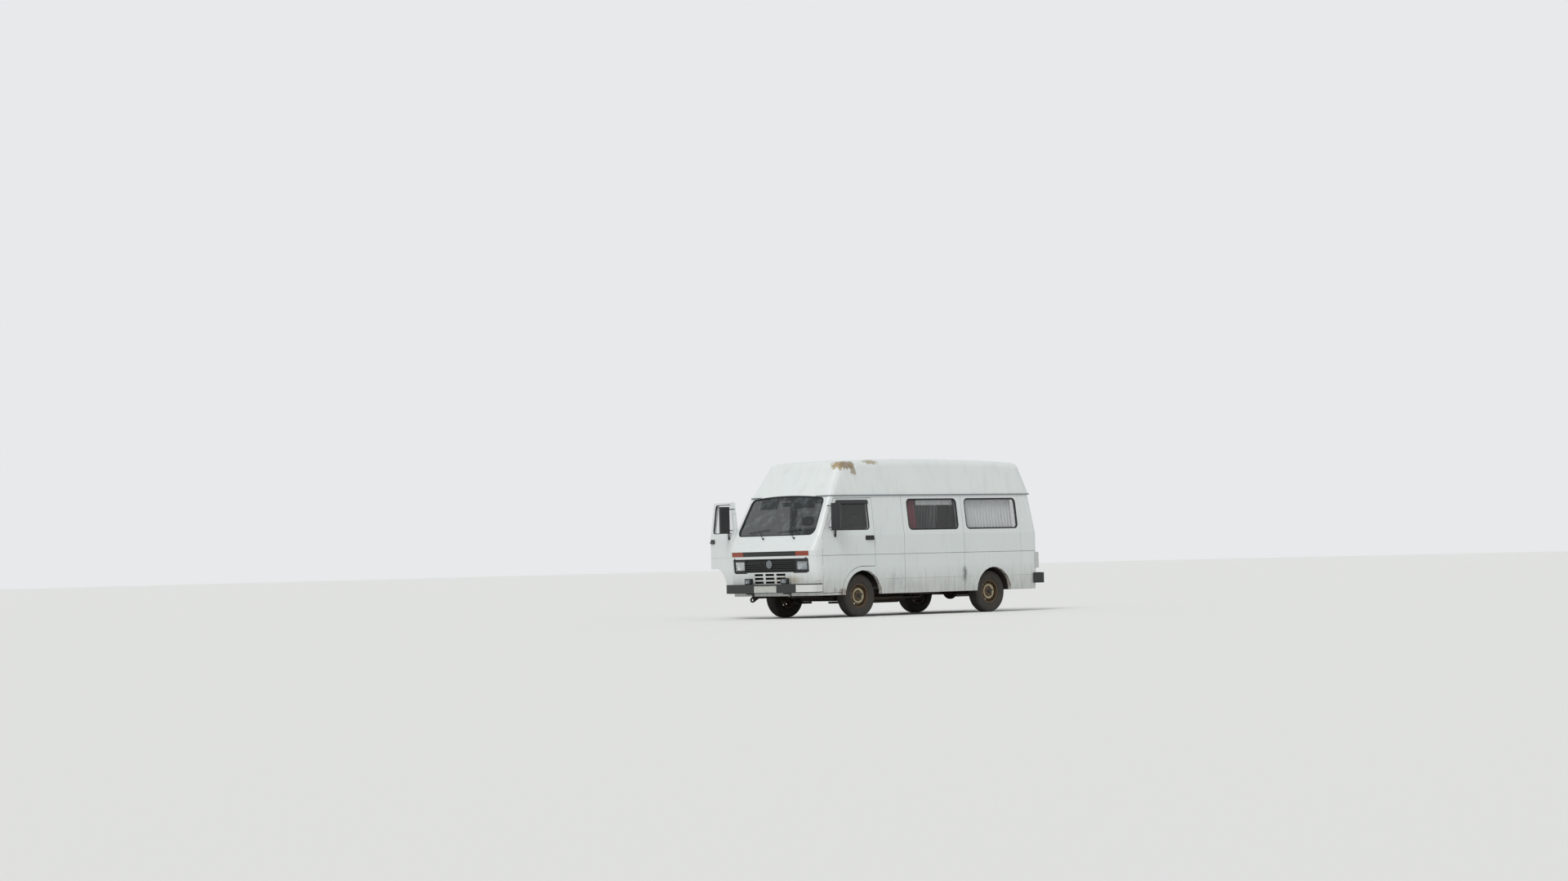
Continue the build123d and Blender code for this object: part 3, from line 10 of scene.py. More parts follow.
import bmesh
import bpy
from mathutils import Matrix, Vector, noise
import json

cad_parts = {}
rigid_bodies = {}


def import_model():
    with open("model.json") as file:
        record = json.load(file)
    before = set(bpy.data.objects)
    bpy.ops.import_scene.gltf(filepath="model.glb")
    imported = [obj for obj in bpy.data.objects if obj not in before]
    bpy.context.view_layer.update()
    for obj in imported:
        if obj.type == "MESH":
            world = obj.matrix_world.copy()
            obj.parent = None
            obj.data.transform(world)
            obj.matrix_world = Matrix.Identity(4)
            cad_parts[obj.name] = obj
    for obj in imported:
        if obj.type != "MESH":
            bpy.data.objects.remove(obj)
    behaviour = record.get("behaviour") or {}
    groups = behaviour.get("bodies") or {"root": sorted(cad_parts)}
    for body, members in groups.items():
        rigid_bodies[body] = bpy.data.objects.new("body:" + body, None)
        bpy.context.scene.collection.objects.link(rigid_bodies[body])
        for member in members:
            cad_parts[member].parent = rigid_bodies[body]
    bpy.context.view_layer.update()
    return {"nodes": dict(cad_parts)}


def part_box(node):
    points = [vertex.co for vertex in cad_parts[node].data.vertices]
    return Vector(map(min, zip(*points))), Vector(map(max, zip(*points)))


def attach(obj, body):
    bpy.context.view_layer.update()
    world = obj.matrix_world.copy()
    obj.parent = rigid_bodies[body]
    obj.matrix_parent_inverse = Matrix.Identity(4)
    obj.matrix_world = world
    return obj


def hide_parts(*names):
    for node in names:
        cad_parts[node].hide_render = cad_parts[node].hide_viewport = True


for leftover in list(bpy.data.objects):
    bpy.data.objects.remove(leftover)
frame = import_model()
nodes = frame["nodes"]


def show(name, data):
    """A new object in the scene."""
    made = bpy.data.objects.new(name, data)
    bpy.context.scene.collection.objects.link(made)
    return made


# %% [markdown]
# The camera stands where the photographer stood: 59 m away, at hip height, with a long lens.
# From so far off the van shows almost no perspective, so the place and the turn of the camera
# decide the likeness more than its lens does.
# Its axes are worked out from a heading, a small tilt and a small roll, then put in one matrix.

# %% Camera
camera_place = Vector((40.501, 43.022, 0.910))
heading, tilt, roll = (math.radians(v) for v in (42.775, 1.861, -1.3856))

ahead = Vector((-math.sin(heading) * math.cos(tilt), -math.cos(heading) * math.cos(tilt), math.sin(tilt)))
level_right = ahead.cross(Vector((0, 0, 1))).normalized()
level_up = level_right.cross(ahead)
camera_right = level_right * math.cos(roll) + level_up * math.sin(roll)
camera_up = level_up * math.cos(roll) - level_right * math.sin(roll)

camera_data = bpy.data.cameras.new("photo_camera")
camera_data.lens = 85.0
camera_data.sensor_width = 36.0
camera_data.clip_end = 400.0
camera = show("photo_camera", camera_data)
turn = Matrix((camera_right, camera_up, -ahead)).transposed().to_4x4()
camera.matrix_world = Matrix.Translation(camera_place) @ turn
bpy.context.scene.camera = camera
print("camera stands", round(camera_place.length, 1), "m from the front axle")

# %% [markdown]
# Every finish is written as a paint or plastics maker would name it, with its colour as a
# screen value such as #dfe2df.
# Blender mixes light in linear values, so one function turns the screen value to linear.
# A second one plugs a value or a link into a socket, and the third adds one node with its settings
# and its links.

# %% Colour and node helpers
def linear(hex_value):
    """An sRGB hex colour as linear red, green, blue and alpha."""
    parts = [int(hex_value[i:i + 2], 16) / 255 for i in (1, 3, 5)]
    return (*[p / 12.92 if p <= 0.04045 else ((p + 0.055) / 1.055) ** 2.4 for p in parts], 1.0)


def plug(socket, value):
    """Gives an input socket a value, an output socket's link or the link of a node's first output."""
    if isinstance(value, bpy.types.Node):
        value = value.outputs[0]
    if isinstance(value, bpy.types.NodeSocket):
        socket.id_data.links.new(value, socket)
    else:
        socket.default_value = value


def add(tree, kind, inputs=(), **settings):
    """Adds one node, a shader kind unless its whole name is given. inputs lists what its sockets get,
    or maps a socket's name or number to it."""
    made = tree.nodes.new(kind if "Node" in kind else "ShaderNode" + kind)
    for key, value in settings.items():
        setattr(made, key, value)
    for key, value in inputs.items() if isinstance(inputs, dict) else enumerate(inputs):
        plug(made.inputs[key], value)
    return made


# %% [markdown]
# A studio has a pale floor and light from everywhere, with one broad lamp that gives the forms
# their shade.
# The sky could be a picture, but a plain world is enough: it shines softly on the paint, and only
# rays that come straight from the camera, from gloss or through glass see it as nearly white.

# %% Studio
sky_light = 0.62
sky_seen = 0.86
floor_half = 260.0

world = bpy.data.worlds.new("studio")
world.use_nodes = True
bpy.context.scene.world = world
sky = world.node_tree
sky.nodes.clear()
ray = add(sky, "LightPath").outputs
seen = add(sky, "Math", (ray["Is Camera Ray"], ray["Is Glossy Ray"]), operation="MAXIMUM")
seen = add(sky, "Math", (seen, ray["Is Transmission Ray"]), operation="MAXIMUM")
strength = add(sky, "MapRange", {"Value": seen, "To Min": sky_light, "To Max": sky_seen})
glow = add(sky, "Background", {"Color": linear("#f7f9fb"), "Strength": strength})
add(sky, "OutputWorld", {"Surface": glow})

sun_data = bpy.data.lights.new("broad_lamp", "SUN")
sun_data.energy = 1.35
sun_data.angle = math.radians(25)
sun = show("broad_lamp", sun_data)
sun.rotation_mode = "QUATERNION"
sun.rotation_quaternion = Vector((1.0, 0.45, 1.25)).to_track_quat("Z", "Y")

floor_mesh = bpy.data.meshes.new("floor")
floor_mesh.from_pydata([(x * floor_half, y * floor_half, 0) for x, y in ((-1, -1), (1, -1), (1, 1), (-1, 1))],
                       [], [(0, 1, 2, 3)])
floor_finish = bpy.data.materials.new("floor_paint")
floor_finish.use_nodes = True
floor_shader = floor_finish.node_tree.nodes["Principled BSDF"]
for socket, value in (("Base Color", linear("#e9e9e6")), ("Roughness", 0.8), ("Specular IOR Level", 0.2)):
    floor_shader.inputs[socket].default_value = value
floor_mesh.materials.append(floor_finish)
show("floor", floor_mesh)
bpy.context.scene.view_settings.view_transform = "Standard"
print("studio: floor", 2 * floor_half, "m wide")

# %% [markdown]
# Most finishes share one build: a base colour that drifts a little over the surface, a grain that
# catches the light, and a sheen that varies with the drift.
# The drift could be painted by hand, but a noise in object coordinates covers every part without
# seams and stays fixed to a part that swings or rolls.
# Marks are laid over that base: each is a colour shown where a mask round its place is 1.

# %% A finish with drift and grain
hub_height = 0.335  # of the wheel centres above the ground


def finish(name, colour, drift_colour, roughness, patch=0.25, grain=0.003, relief=0.0002, spread=0.12,
           **sockets):
    """A material: two colours mixed over patches, and a bump whose grain and relief are in metres."""
    made = bpy.data.materials.new(name)
    made.use_nodes = True
    tree = made.node_tree
    place = add(tree, "TexCoord").outputs["Object"]
    drift = add(tree, "TexNoise", {"Vector": place, "Scale": 1 / patch, "Detail": 5.0})
    shade = add(tree, "Mix", {0: drift, 6: linear(colour), 7: linear(drift_colour)}, data_type="RGBA")
    sheen = add(tree, "MapRange", {"Value": drift, "From Min": 0.3, "From Max": 0.7, "To Min": roughness,
                                   "To Max": min(1, roughness + spread)})
    speck = add(tree, "TexNoise", {"Vector": place, "Scale": 1 / grain, "Detail": 2.0})
    bump = add(tree, "Bump", {"Height": speck, "Distance": relief, "Strength": 1.0})
    sockets |= {"Base Color": shade.outputs[2], "Roughness": sheen, "Normal": bump}
    for socket, value in sockets.items():
        plug(tree.nodes["Principled BSDF"].inputs[socket.replace("_", " ")], value)
    return made


def place_in(tree):
    """The object coordinates that a finish uses."""
    return tree.nodes["Texture Coordinate"].outputs["Object"]


def patch_mask(tree, centre, reach, rag=0.35, rag_size=0.06, blur=0.28):
    """1 inside a ragged ellipsoid round a point, 0 outside it, with a soft rim of the given share."""
    away = add(tree, "VectorMath", (place_in(tree), centre), operation="SUBTRACT")
    share = add(tree, "VectorMath", (away, reach), operation="DIVIDE")
    far = add(tree, "VectorMath", {0: share}, operation="LENGTH").outputs["Value"]
    tear = add(tree, "TexNoise", {"Vector": place_in(tree), "Scale": 1 / rag_size, "Detail": 4.0})
    torn = add(tree, "Math", (tear, 4 * rag, far), operation="MULTIPLY_ADD")
    return add(tree, "MapRange", {"Value": torn, "From Min": 1.0 + 2 * rag, "From Max": 1.0 - blur + 2 * rag})


def box_mask(tree, centre, half, turn=0.0):
    """1 inside a box with the given half sizes, turned about the vertical through its centre."""
    inside = add(tree, "Mapping", {"Vector": place_in(tree), "Location": centre, "Rotation": (0, 0, turn),
                                   "Scale": half}, vector_type="TEXTURE")
    spread = add(tree, "VectorMath", {0: inside}, operation="ABSOLUTE")
    axes = add(tree, "SeparateXYZ", {0: spread}).outputs
    widest = add(tree, "Math", (axes["X"], axes["Y"]), operation="MAXIMUM")
    widest = add(tree, "Math", (widest, axes["Z"]), operation="MAXIMUM")
    return add(tree, "Math", (widest, 1.0), operation="LESS_THAN")


def hub_distance(tree, wheel_x):
    """How far a point lies from the axle line of a wheel."""
    axes = add(tree, "SeparateXYZ", {0: place_in(tree)}).outputs
    flat = add(tree, "CombineXYZ", {"X": axes["X"], "Z": axes["Z"]})
    return add(tree, "VectorMath", (flat, (wheel_x, 0, hub_height)), operation="DISTANCE").outputs["Value"]


def lay_over(material, layers):
    """Lays colours over a finish in turn, each a tuple of mask, colour and weight."""
    tree = material.node_tree
    target = tree.nodes["Principled BSDF"].inputs["Base Color"]
    for mask, colour, weight in layers:
        share = add(tree, "Math", (mask, weight), operation="MULTIPLY")
        laid = add(tree, "Mix", {0: share, 6: target.links[0].from_socket, 7: linear(colour)},
                   data_type="RGBA")
        plug(target, laid.outputs[2])


# %% [markdown]
# The body is pressed steel in white alkyd enamel, decades old.
# It has gone chalky, so it is only half glossy, with road grime thrown up along the sills, rust
# where the wheel arches lost their paint, and a few marks of its own on the left side.
# Painting these on an image would tie them to one view, so each is a mask round its real place; the dark one
# at the rear seam is painted shade of a dent.

# %% Body enamel
sill_grime_top = 0.80
sill_grime_low = 0.36
wheel_centres = (0.0, -2.95)
arch_edge, arch_lip = 0.425, 0.392
arch_rust = 0.70
rust_start, rust_full = 0.98, 1.12
crease_shade_and_seam_grey = "#3c4347"
slot_shade_half = (0.08, 0.102, 0.0185)
handle_half = (0.095, 0.024, 0.0365)
door_opening = 69.0  # degrees that the right front door stands open

# Alkyd enamel over pressed steel: a chalky white with half a gloss.
body_enamel = finish("body_enamel", "#dfe3e1", "#d3d9d8", 0.30, patch=0.7, grain=0.0022, relief=0.00006)
tree = body_enamel.node_tree
place = place_in(tree)
height = add(tree, "SeparateXYZ", {0: place}).outputs["Z"]
low = add(tree, "MapRange", {"Value": height, "From Min": sill_grime_top, "From Max": sill_grime_low,
                             "To Max": 0.75})
stretched = add(tree, "Mapping", {"Vector": place, "Scale": (14.0, 14.0, 2.2)})
runs = add(tree, "TexNoise", {"Vector": stretched, "Scale": 1.6, "Detail": 6.0})
streaks = add(tree, "MapRange", {"Value": runs, "From Min": 0.54, "From Max": 0.85, "To Max": 0.24})
layers = [(low, "#857f6d", runs), (streaks, "#a9aca6", 1.0)]
for wheel_x in wheel_centres:
    near = add(tree, "MapRange", {"Value": hub_distance(tree, wheel_x), "From Min": arch_edge,
                                  "From Max": arch_lip, "To Max": 0.62})
    rust_spots = add(tree, "TexNoise", {"Vector": place, "Scale": 16.0, "Detail": 8.0, "Roughness": 0.7})
    eaten = add(tree, "Math", (near, rust_spots), operation="ADD")
    rusty = add(tree, "MapRange", {"Value": eaten, "From Min": rust_start, "From Max": rust_full})
    layers.append((rusty, "#6d4127", arch_rust))
marks_and_dent_shade = (  # centre, reach in metres, colour, how strong, how soft its rim
    ((-0.66, 1.0, 0.55), (0.10, 0.10, 0.19), "#9aa1a3", 0.55, 0.75),
    ((-0.84, 1.0, 0.52), (0.15, 0.10, 0.15), "#a4abad", 0.45, 0.80),
    ((-1.15, 1.0, 0.46), (0.30, 0.10, 0.10), "#b0b4b1", 0.50, 0.80),
    # Painted shade: this dark grey patch at the rear seam stands for the shade in a dent.
    ((-2.285, 1.0, 0.62), (0.07, 0.10, 0.19), "#30383d", 0.75, 0.80),
    ((1.07, 0.42, 0.60), (0.12, 0.42, 0.09), "#a8966a", 0.60, 0.60),
    ((0.44, 1.0, 0.40), (0.10, 0.10, 0.06), "#5e3a24", 0.85, 0.45),
    ((0.60, 0.97, 0.43), (0.05, 0.08, 0.05), "#6d4127", 0.70, 0.50),
)
scratched = add(tree, "Mapping", {"Vector": place, "Scale": (60.0, 60.0, 4.0)})
scratched = add(tree, "TexNoise", {"Vector": scratched, "Scale": 1.0, "Detail": 5.0})
scratched = add(tree, "MapRange", {"Value": scratched, "From Min": 0.38, "From Max": 0.62, "To Min": 0.45})
for centre, reach, colour, weight, blur in marks_and_dent_shade:
    mask = patch_mask(tree, centre, reach, blur=blur)
    mask = add(tree, "Math", (mask, scratched), operation="MULTIPLY")
    layers.append((mask, colour, weight))
# The first dark line is painted shade along the crease round the body; the lines after it are the dark joints
# at the seams.
dark_boxes = [  # centre, half sizes, turn, colour, how dark: the crease round the body, then seams
    ((-1.57, 0.0, 0.978), (2.45, 1.1, 0.0032), 0.0, crease_shade_and_seam_grey, 0.85),
    ((-0.930, 0.0, 1.13), (0.0032, 1.1, 0.78), 0.0, crease_shade_and_seam_grey, 0.45),
    ((-2.283, 0.0, 1.13), (0.0032, 1.1, 0.78), 0.0, crease_shade_and_seam_grey, 0.40),
    ((-3.612, 0.0, 1.13), (0.0030, 1.1, 0.78), 0.0, crease_shade_and_seam_grey, 0.35),
    ((-1.475, 0.0, 0.590), (0.985, 1.1, 0.0026), 0.0, crease_shade_and_seam_grey, 0.42),
    ((-3.710, 0.0, 0.590), (0.265, 1.1, 0.0026), 0.0, crease_shade_and_seam_grey, 0.42),
    ((0.930, 0.0, 0.590), (0.060, 1.1, 0.0030), 0.0, crease_shade_and_seam_grey, 0.50),
]
# Painted shade: near-black boxes round the slots of the lower grille paint the shade of their openings onto
# the white panel round them.
slot_middles = [(1.06, y, z) for y in (-0.256, 0.0, 0.256) for z in (0.572, 0.633, 0.692)]
dark_boxes += [(middle, slot_shade_half, 0.0, "#1d2021", 1.0) for middle in slot_middles]
# Painted shade: a near-black box on the steel behind the grille stands for the shade there.
behind_grille_shade = ((1.00, 0.0, 0.84), (0.062, 0.84, 0.125), 0.0, "#202325", 1.0)
dark_boxes.append(behind_grille_shade)
# The handles are black; each box also blackens the pocket round its handle, and that part is painted shade of
# the recess.
handle_places = (  # centre and turn in degrees of the moulded black handles and their pockets
    ((-0.165, 1.016, 1.242), 0.0), ((0.503, -1.977, 1.242), door_opening),
    ((-0.405, -1.016, 1.124), 0.0), ((-4.008, -0.110, 1.134), 90.0),
)
dark_boxes += [(middle, handle_half, math.radians(turn), "#1a1c1d", 1.0)
               for middle, turn in handle_places]
layers += [(box_mask(tree, centre, half, turn), colour, weight)
           for centre, half, turn, colour, weight in dark_boxes]
lay_over(body_enamel, layers)
print("body enamel:", len(tree.nodes), "nodes")

# %% [markdown]
# The tall roof is glass-fibre laminate with a moulded gelcoat skin, whiter and softer in gloss
# than the enamel.
# At its left front shoulder the skin has peeled down to the tan laminate in a few ragged patches.

# %% Roof gelcoat
# Moulded polyester gelcoat: a softer, warmer white that the weather has dulled.
roof_gelcoat = finish("roof_gelcoat", "#e3e6e3", "#d8dedd", 0.42, patch=0.9, grain=0.005, relief=0.0001)
tree = roof_gelcoat.node_tree
peeled = (  # centre, reach in metres, colour, how strong
    ((0.27, 0.80, 2.41), (0.19, 0.15, 0.09), "#9c855c", 0.90),
    ((0.11, 0.79, 2.40), (0.16, 0.14, 0.08), "#806a48", 0.85),
    ((0.01, 0.86, 2.31), (0.07, 0.10, 0.07), "#8a7450", 0.75),
    ((-0.42, 0.78, 2.45), (0.16, 0.12, 0.05), "#94825c", 0.75),
)
layers = [(patch_mask(tree, centre, reach, rag=0.5), colour, weight)
          for centre, reach, colour, weight in peeled]
stretched = add(tree, "Mapping", {"Vector": place_in(tree), "Scale": (7.0, 7.0, 0.9)})
runs = add(tree, "TexNoise", {"Vector": stretched, "Scale": 1.3, "Detail": 7.0})
washed = add(tree, "MapRange", {"Value": runs, "From Min": 0.50, "From Max": 0.85, "To Max": 0.22})
# The grey band under the roof's flange is the joint between steel and roof, with the flange's shadow painted
# in.
drip_joint_shade = box_mask(tree, (-1.6, 0.0, 1.914), (3.0, 1.1, 0.0095))
lay_over(roof_gelcoat, [*layers, (washed, "#a7aca8", 1.0), (drip_joint_shade, "#596166", 0.85)])
print("roof gelcoat:", len(tree.nodes), "nodes")

# %% [markdown]
# The rest of the van's finishes differ in a few typical values: how dark they are, how they
# shine, and how coarse their grain is.
# A pane is thin, so it neither bends the light nor keeps it off the cloth behind it: its skin is mostly clear
# and keeps a strong gloss.
# The windscreen's skin is darker and less clear, painted shade of the cab behind it, with dried dust on it in
# patches.

# %% Stock finishes
# Float glass: a dark, mirroring pane that still lets the curtains show through. Its IOR is above the
# 1.52 of real glass, because a skin this clear would mirror too little.
window_glass = finish("side_window_glass", "#20292b", "#1b2325", 0.02, patch=0.8, grain=0.5, relief=0.0002,
                      spread=0.03, Alpha=0.15, IOR=2.8)
# Laminated glass under dried dust: a grey haze, sharp only in its gloss. Its near-black skin at 0.72 alpha is
# painted shade of the cab behind it.
screen_glass = finish("windscreen_glass", "#141c1b", "#101818", 0.03, patch=0.8, grain=0.5, relief=0.0002,
                      spread=0.05, Alpha=0.72, IOR=1.52)
tree = screen_glass.node_tree
haze = add(tree, "TexNoise", {"Vector": place_in(tree), "Scale": 7.0, "Detail": 7.0, "Roughness": 0.62})
haze = add(tree, "MapRange", {"Value": haze, "From Min": 0.50, "From Max": 0.72, "To Max": 0.32})
lay_over(screen_glass, [(haze, "#8fa3a5", 1.0)])
# Pressed soda glass: clear, and its flutes break up the reflector behind it.
lamp_glass = finish("lamp_glass", "#eef1f1", "#dfe4e4", 0.04, grain=0.012, relief=0.0008,
                    Transmission_Weight=1.0, IOR=1.5)
# Moulded polycarbonate: a deep orange with fine ribs that catch the sky.
amber_lens = finish("amber_polycarbonate", "#ad3f17", "#983410", 0.18, grain=0.008, relief=0.0009,
                    Transmission_Weight=0.25, IOR=1.58)
# Moulded polycarbonate in one length: amber above, red in the middle, clear below.
red_lens = finish("red_polycarbonate", "#8e1713", "#7a110f", 0.18, grain=0.008, relief=0.0009,
                  Transmission_Weight=0.25, IOR=1.58)
rib_pitch = 0.006
for lens in (amber_lens, red_lens):
    tree = lens.node_tree
    ribs = add(tree, "TexWave", {"Vector": place_in(tree), "Scale": 2 * math.pi / (20 * rib_pitch)},
               bands_direction="Z", wave_profile="SIN")
    plug(tree.nodes["Bump"].inputs["Height"], ribs.outputs["Fac"])
tail_bands = (  # centre, half sizes, colour: amber above, clear below, white housing at each side
    ((-3.95, 0.0, 0.915), (0.1, 1.1, 0.045), "#c4611f"),
    ((-3.95, 0.0, 0.735), (0.1, 1.1, 0.035), "#c9c7c0"),
    ((-3.95, 1.022, 0.83), (0.1, 0.026, 0.15), "#d9dddb"),
    ((-3.95, -1.022, 0.83), (0.1, 0.026, 0.15), "#d9dddb"),
)
lay_over(red_lens, [(box_mask(red_lens.node_tree, centre, half), colour, 1.0)
                    for centre, half, colour in tail_bands])
# Moulded ABS gone dull: a near black with a broad, weak shine.
black_plastic = finish("black_moulded_abs", "#1c1e1f", "#26292a", 0.48, grain=0.0016, relief=0.00025)
# The same ABS with a blank boss in satin grey: a dim disc in the middle of the dark slats.
grille_plastic = finish("black_grille_abs", "#1c1e1f", "#26292a", 0.48, grain=0.0016, relief=0.00025)
boss = patch_mask(grille_plastic.node_tree, (1.10, 0.0, 0.856), (0.5, 0.0655, 0.0655), rag=0.0, blur=0.02)
lay_over(grille_plastic, [(boss, "#6f7578", 1.0)])
# Extruded EPDM rubber: a matt black line round every pane, greyed by dust.
seal_rubber = finish("window_seal_rubber", "#141616", "#212423", 0.60)
# Moulded rubber with road dust worked in: a brown grey with no shine.
tyre_rubber = finish("dusty_tyre_rubber", "#242321", "#4a463f", 0.78, patch=0.10, grain=0.002, relief=0.0004)
# Enamel on a pressed wheel, mostly gone to brown rust: one cream ring still stands out round the hub.
wheel_enamel = finish("rusty_wheel_enamel", "#6b573e", "#4a3c2e", 0.55, patch=0.05, grain=0.004,
                      relief=0.0003)
tree = wheel_enamel.node_tree
from_hubs = [hub_distance(tree, wheel_x) for wheel_x in wheel_centres]
from_hub = add(tree, "Math", (from_hubs[0], from_hubs[1]), operation="MINIMUM")
cream_ring = add(tree, "Math", (from_hub, 0.103, 0.0145), operation="COMPARE")
lay_over(wheel_enamel, [(cream_ring, "#b9b191", 0.9)])
# Brushed underseal: a rough near black with rust showing through in patches.
chassis_paint = finish("underseal_over_steel", "#1f1d1b", "#3a2f26", 0.75, patch=0.15, grain=0.005,
                       relief=0.0010)
# Sand-cast iron: dark and grainy, with a faint metal edge to its highlights.
cast_metal = finish("sooty_cast_iron", "#4a4642", "#5e5047", 0.62, patch=0.08, relief=0.0008, Metallic=0.7)
# Drawn aluminised tube: a grey metal sheen that heat has stained brown.
bare_steel = finish("aluminised_steel_pipe", "#8a8782", "#6b5a4b", 0.42, patch=0.08, grain=0.002,
                    relief=0.0003, Metallic=0.9)
# Woven tweed: flecked brown that stays dull, with a soft light rim where it curves.
seat_cloth = finish("brown_tweed_cloth", "#4f4238", "#62554a", 0.92, patch=0.02, grain=0.0025, relief=0.0010,
                    Sheen_Weight=0.3)
# Plain woven cotton: a pale cloth whose folds show only by their shade.
curtain_cloth = finish("pale_cotton_curtain", "#eceeee", "#dfe4e6", 0.88, patch=0.15, grain=0.0020,
                       relief=0.0006, Sheen_Weight=0.2)
# Embossed vinyl: a grained dark skin with a weak sheen.
dash_plastic = finish("dark_dash_vinyl", "#2a2826", "#353230", 0.60, grain=0.0025, relief=0.0006)
# Moulded rubber sheet: dark and matt, greyed where feet have worn it.
floor_rubber = finish("ribbed_floor_rubber", "#37342f", "#4b463d", 0.82, grain=0.004, relief=0.0008)
# Brushed enamel on pressed steel: soft black, with the left end still in white.
bumper_enamel = finish("bumper_enamel", "#232526", "#2f3232", 0.45, patch=0.2)
white_end = box_mask(bumper_enamel.node_tree, (1.05, 0.90, 0.4725), (0.3, 0.205, 0.0555))
lay_over(bumper_enamel, [(white_end, "#d3d6d2", 1.0)])
print("stock finishes made:", len(bpy.data.materials))

# %% [markdown]
# Each CAD node takes the finish of the real part, found by how its name starts.
# The longest matching start wins, so a door's glass isn't painted as the door is.

# %% Finishes on the CAD nodes
finish_starts = (
    (body_enamel, "cab_frame nose_panel side_wall sliding_door rear_frame rear_door door_front"),
    (roof_gelcoat, "high_roof"), (screen_glass, "windscreen"),
    (window_glass, "side_windows door_glass rear_glass"),
    (grille_plastic, "grille"), (black_plastic, "mirror rear_bumper steering_wheel wipers"),
    (lamp_glass, "headlamps fog_lamps"), (amber_lens, "turn_signals"), (red_lens, "tail_lamps"),
    (bumper_enamel, "front_bumper"), (tyre_rubber, "tyre"), (wheel_enamel, "rim"),
    (chassis_paint, "chassis_frame front_axle rear_axle drive_shaft fuel_tank wheel_housings tow_eyes"),
    (floor_rubber, "floor_pan cab_floor"), (cast_metal, "knuckle engine"), (bare_steel, "exhaust"),
    (seat_cloth, "cab_seats"), (dash_plastic, "seat_bases dashboard"), (curtain_cloth, "curtains"),
)
node_finish = {start: used for used, starts in finish_starts for start in starts.split()}
for node_name, node in nodes.items():
    start = max((s for s in node_finish if node_name.startswith(s)), key=len)
    node.data.materials.clear()
    node.data.materials.append(node_finish[start])
print("finished CAD nodes:", len(nodes))

# %% [markdown]
# New pieces are plain meshes at the origin, each riding on the CAD body that carries it.
# One helper does what every piece needs, so that no piece is left without a body or a finish.
# The others make the plain forms that pieces are put together from.

# %% Putting a piece in place
soft_edge = math.radians(38)
merge_reach = 1e-5


def put(name, mesh, finish_used, record_slot="black_plastic", body="root", stands_for=()):
    """Shows a finished mesh as a piece that moves with its CAD body."""
    mesh.name = name
    mesh.materials.clear()
    mesh.materials.append(finish_used)
    mesh.polygons.foreach_set("material_index", [0] * len(mesh.polygons))
    mesh.shade_smooth()
    mesh.set_sharp_from_angle(angle=soft_edge)
    made = show(name, mesh)
    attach(made, body)
    if stands_for:
        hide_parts(*stands_for)
    return made


def cad_bmesh(node_name):
    """A bmesh of a CAD node, doubles merged."""
    work = bmesh.new()
    work.from_mesh(nodes[node_name].data)
    bmesh.ops.remove_doubles(work, verts=work.verts, dist=merge_reach)
    return work


def as_mesh(work):
    """The mesh of a bmesh, which is freed."""
    made = bpy.data.meshes.new("made")
    work.to_mesh(made)
    work.free()
    return made


def from_bmesh(work):
    """A mesh from a bmesh, doubles merged and faces turned outwards."""
    bmesh.ops.remove_doubles(work, verts=work.verts, dist=merge_reach)
    bmesh.ops.recalc_face_normals(work, faces=work.faces)
    return as_mesh(work)


def joined(*meshes):
    """One mesh out of several."""
    work = bmesh.new()
    for mesh in meshes:
        work.from_mesh(mesh)
    return as_mesh(work)


def at(x, y, z):
    """The matrix of a place."""
    return Matrix.Translation((x, y, z))


def moved(mesh, matrix):
    """A copy of a mesh, moved, turned or mirrored."""
    made = mesh.copy()
    made.transform(matrix)
    if matrix.determinant() < 0:
        made.flip_normals()
    return made


def block(low, high, round_edge=0.003, segments=2):
    """A mesh block between two corners with rounded edges."""
    work = bmesh.new()
    bmesh.ops.create_cube(work, size=1.0)
    bmesh.ops.scale(work, vec=Vector(high) - Vector(low), verts=work.verts)
    bmesh.ops.translate(work, vec=(Vector(low) + Vector(high)) / 2, verts=work.verts)
    if round_edge:
        bmesh.ops.bevel(work, geom=work.edges[:], offset=round_edge, segments=segments, profile=0.5,
                        affect="EDGES")
    return from_bmesh(work)


def blocks(*rows):
    """One mesh of several blocks."""
    return joined(*[block(*row) for row in rows])


def turned(profile, steps=48, axis="Y"):
    """A solid of revolution from a closed profile of (radius, distance along the axis) points."""
    work = bmesh.new()
    rings = []
    for step in range(steps):
        angle = 2 * math.pi * step / steps
        ring = []
        for radius, along in profile:
            across, up = radius * math.sin(angle), radius * math.cos(angle)
            ring.append(work.verts.new({"X": (along, across, up), "Y": (across, along, up),
                                        "Z": (across, up, along)}[axis]))
        rings.append(ring)
    for near, far in zip(rings, rings[1:] + rings[:1]):
        for i in range(len(profile)):
            j = (i + 1) % len(profile)
            if profile[i][0] > 0 or profile[j][0] > 0:
                work.faces.new((near[i], near[j], far[j], far[i]))
    bmesh.ops.dissolve_degenerate(work, dist=1e-6, edges=work.edges)
    return from_bmesh(work)


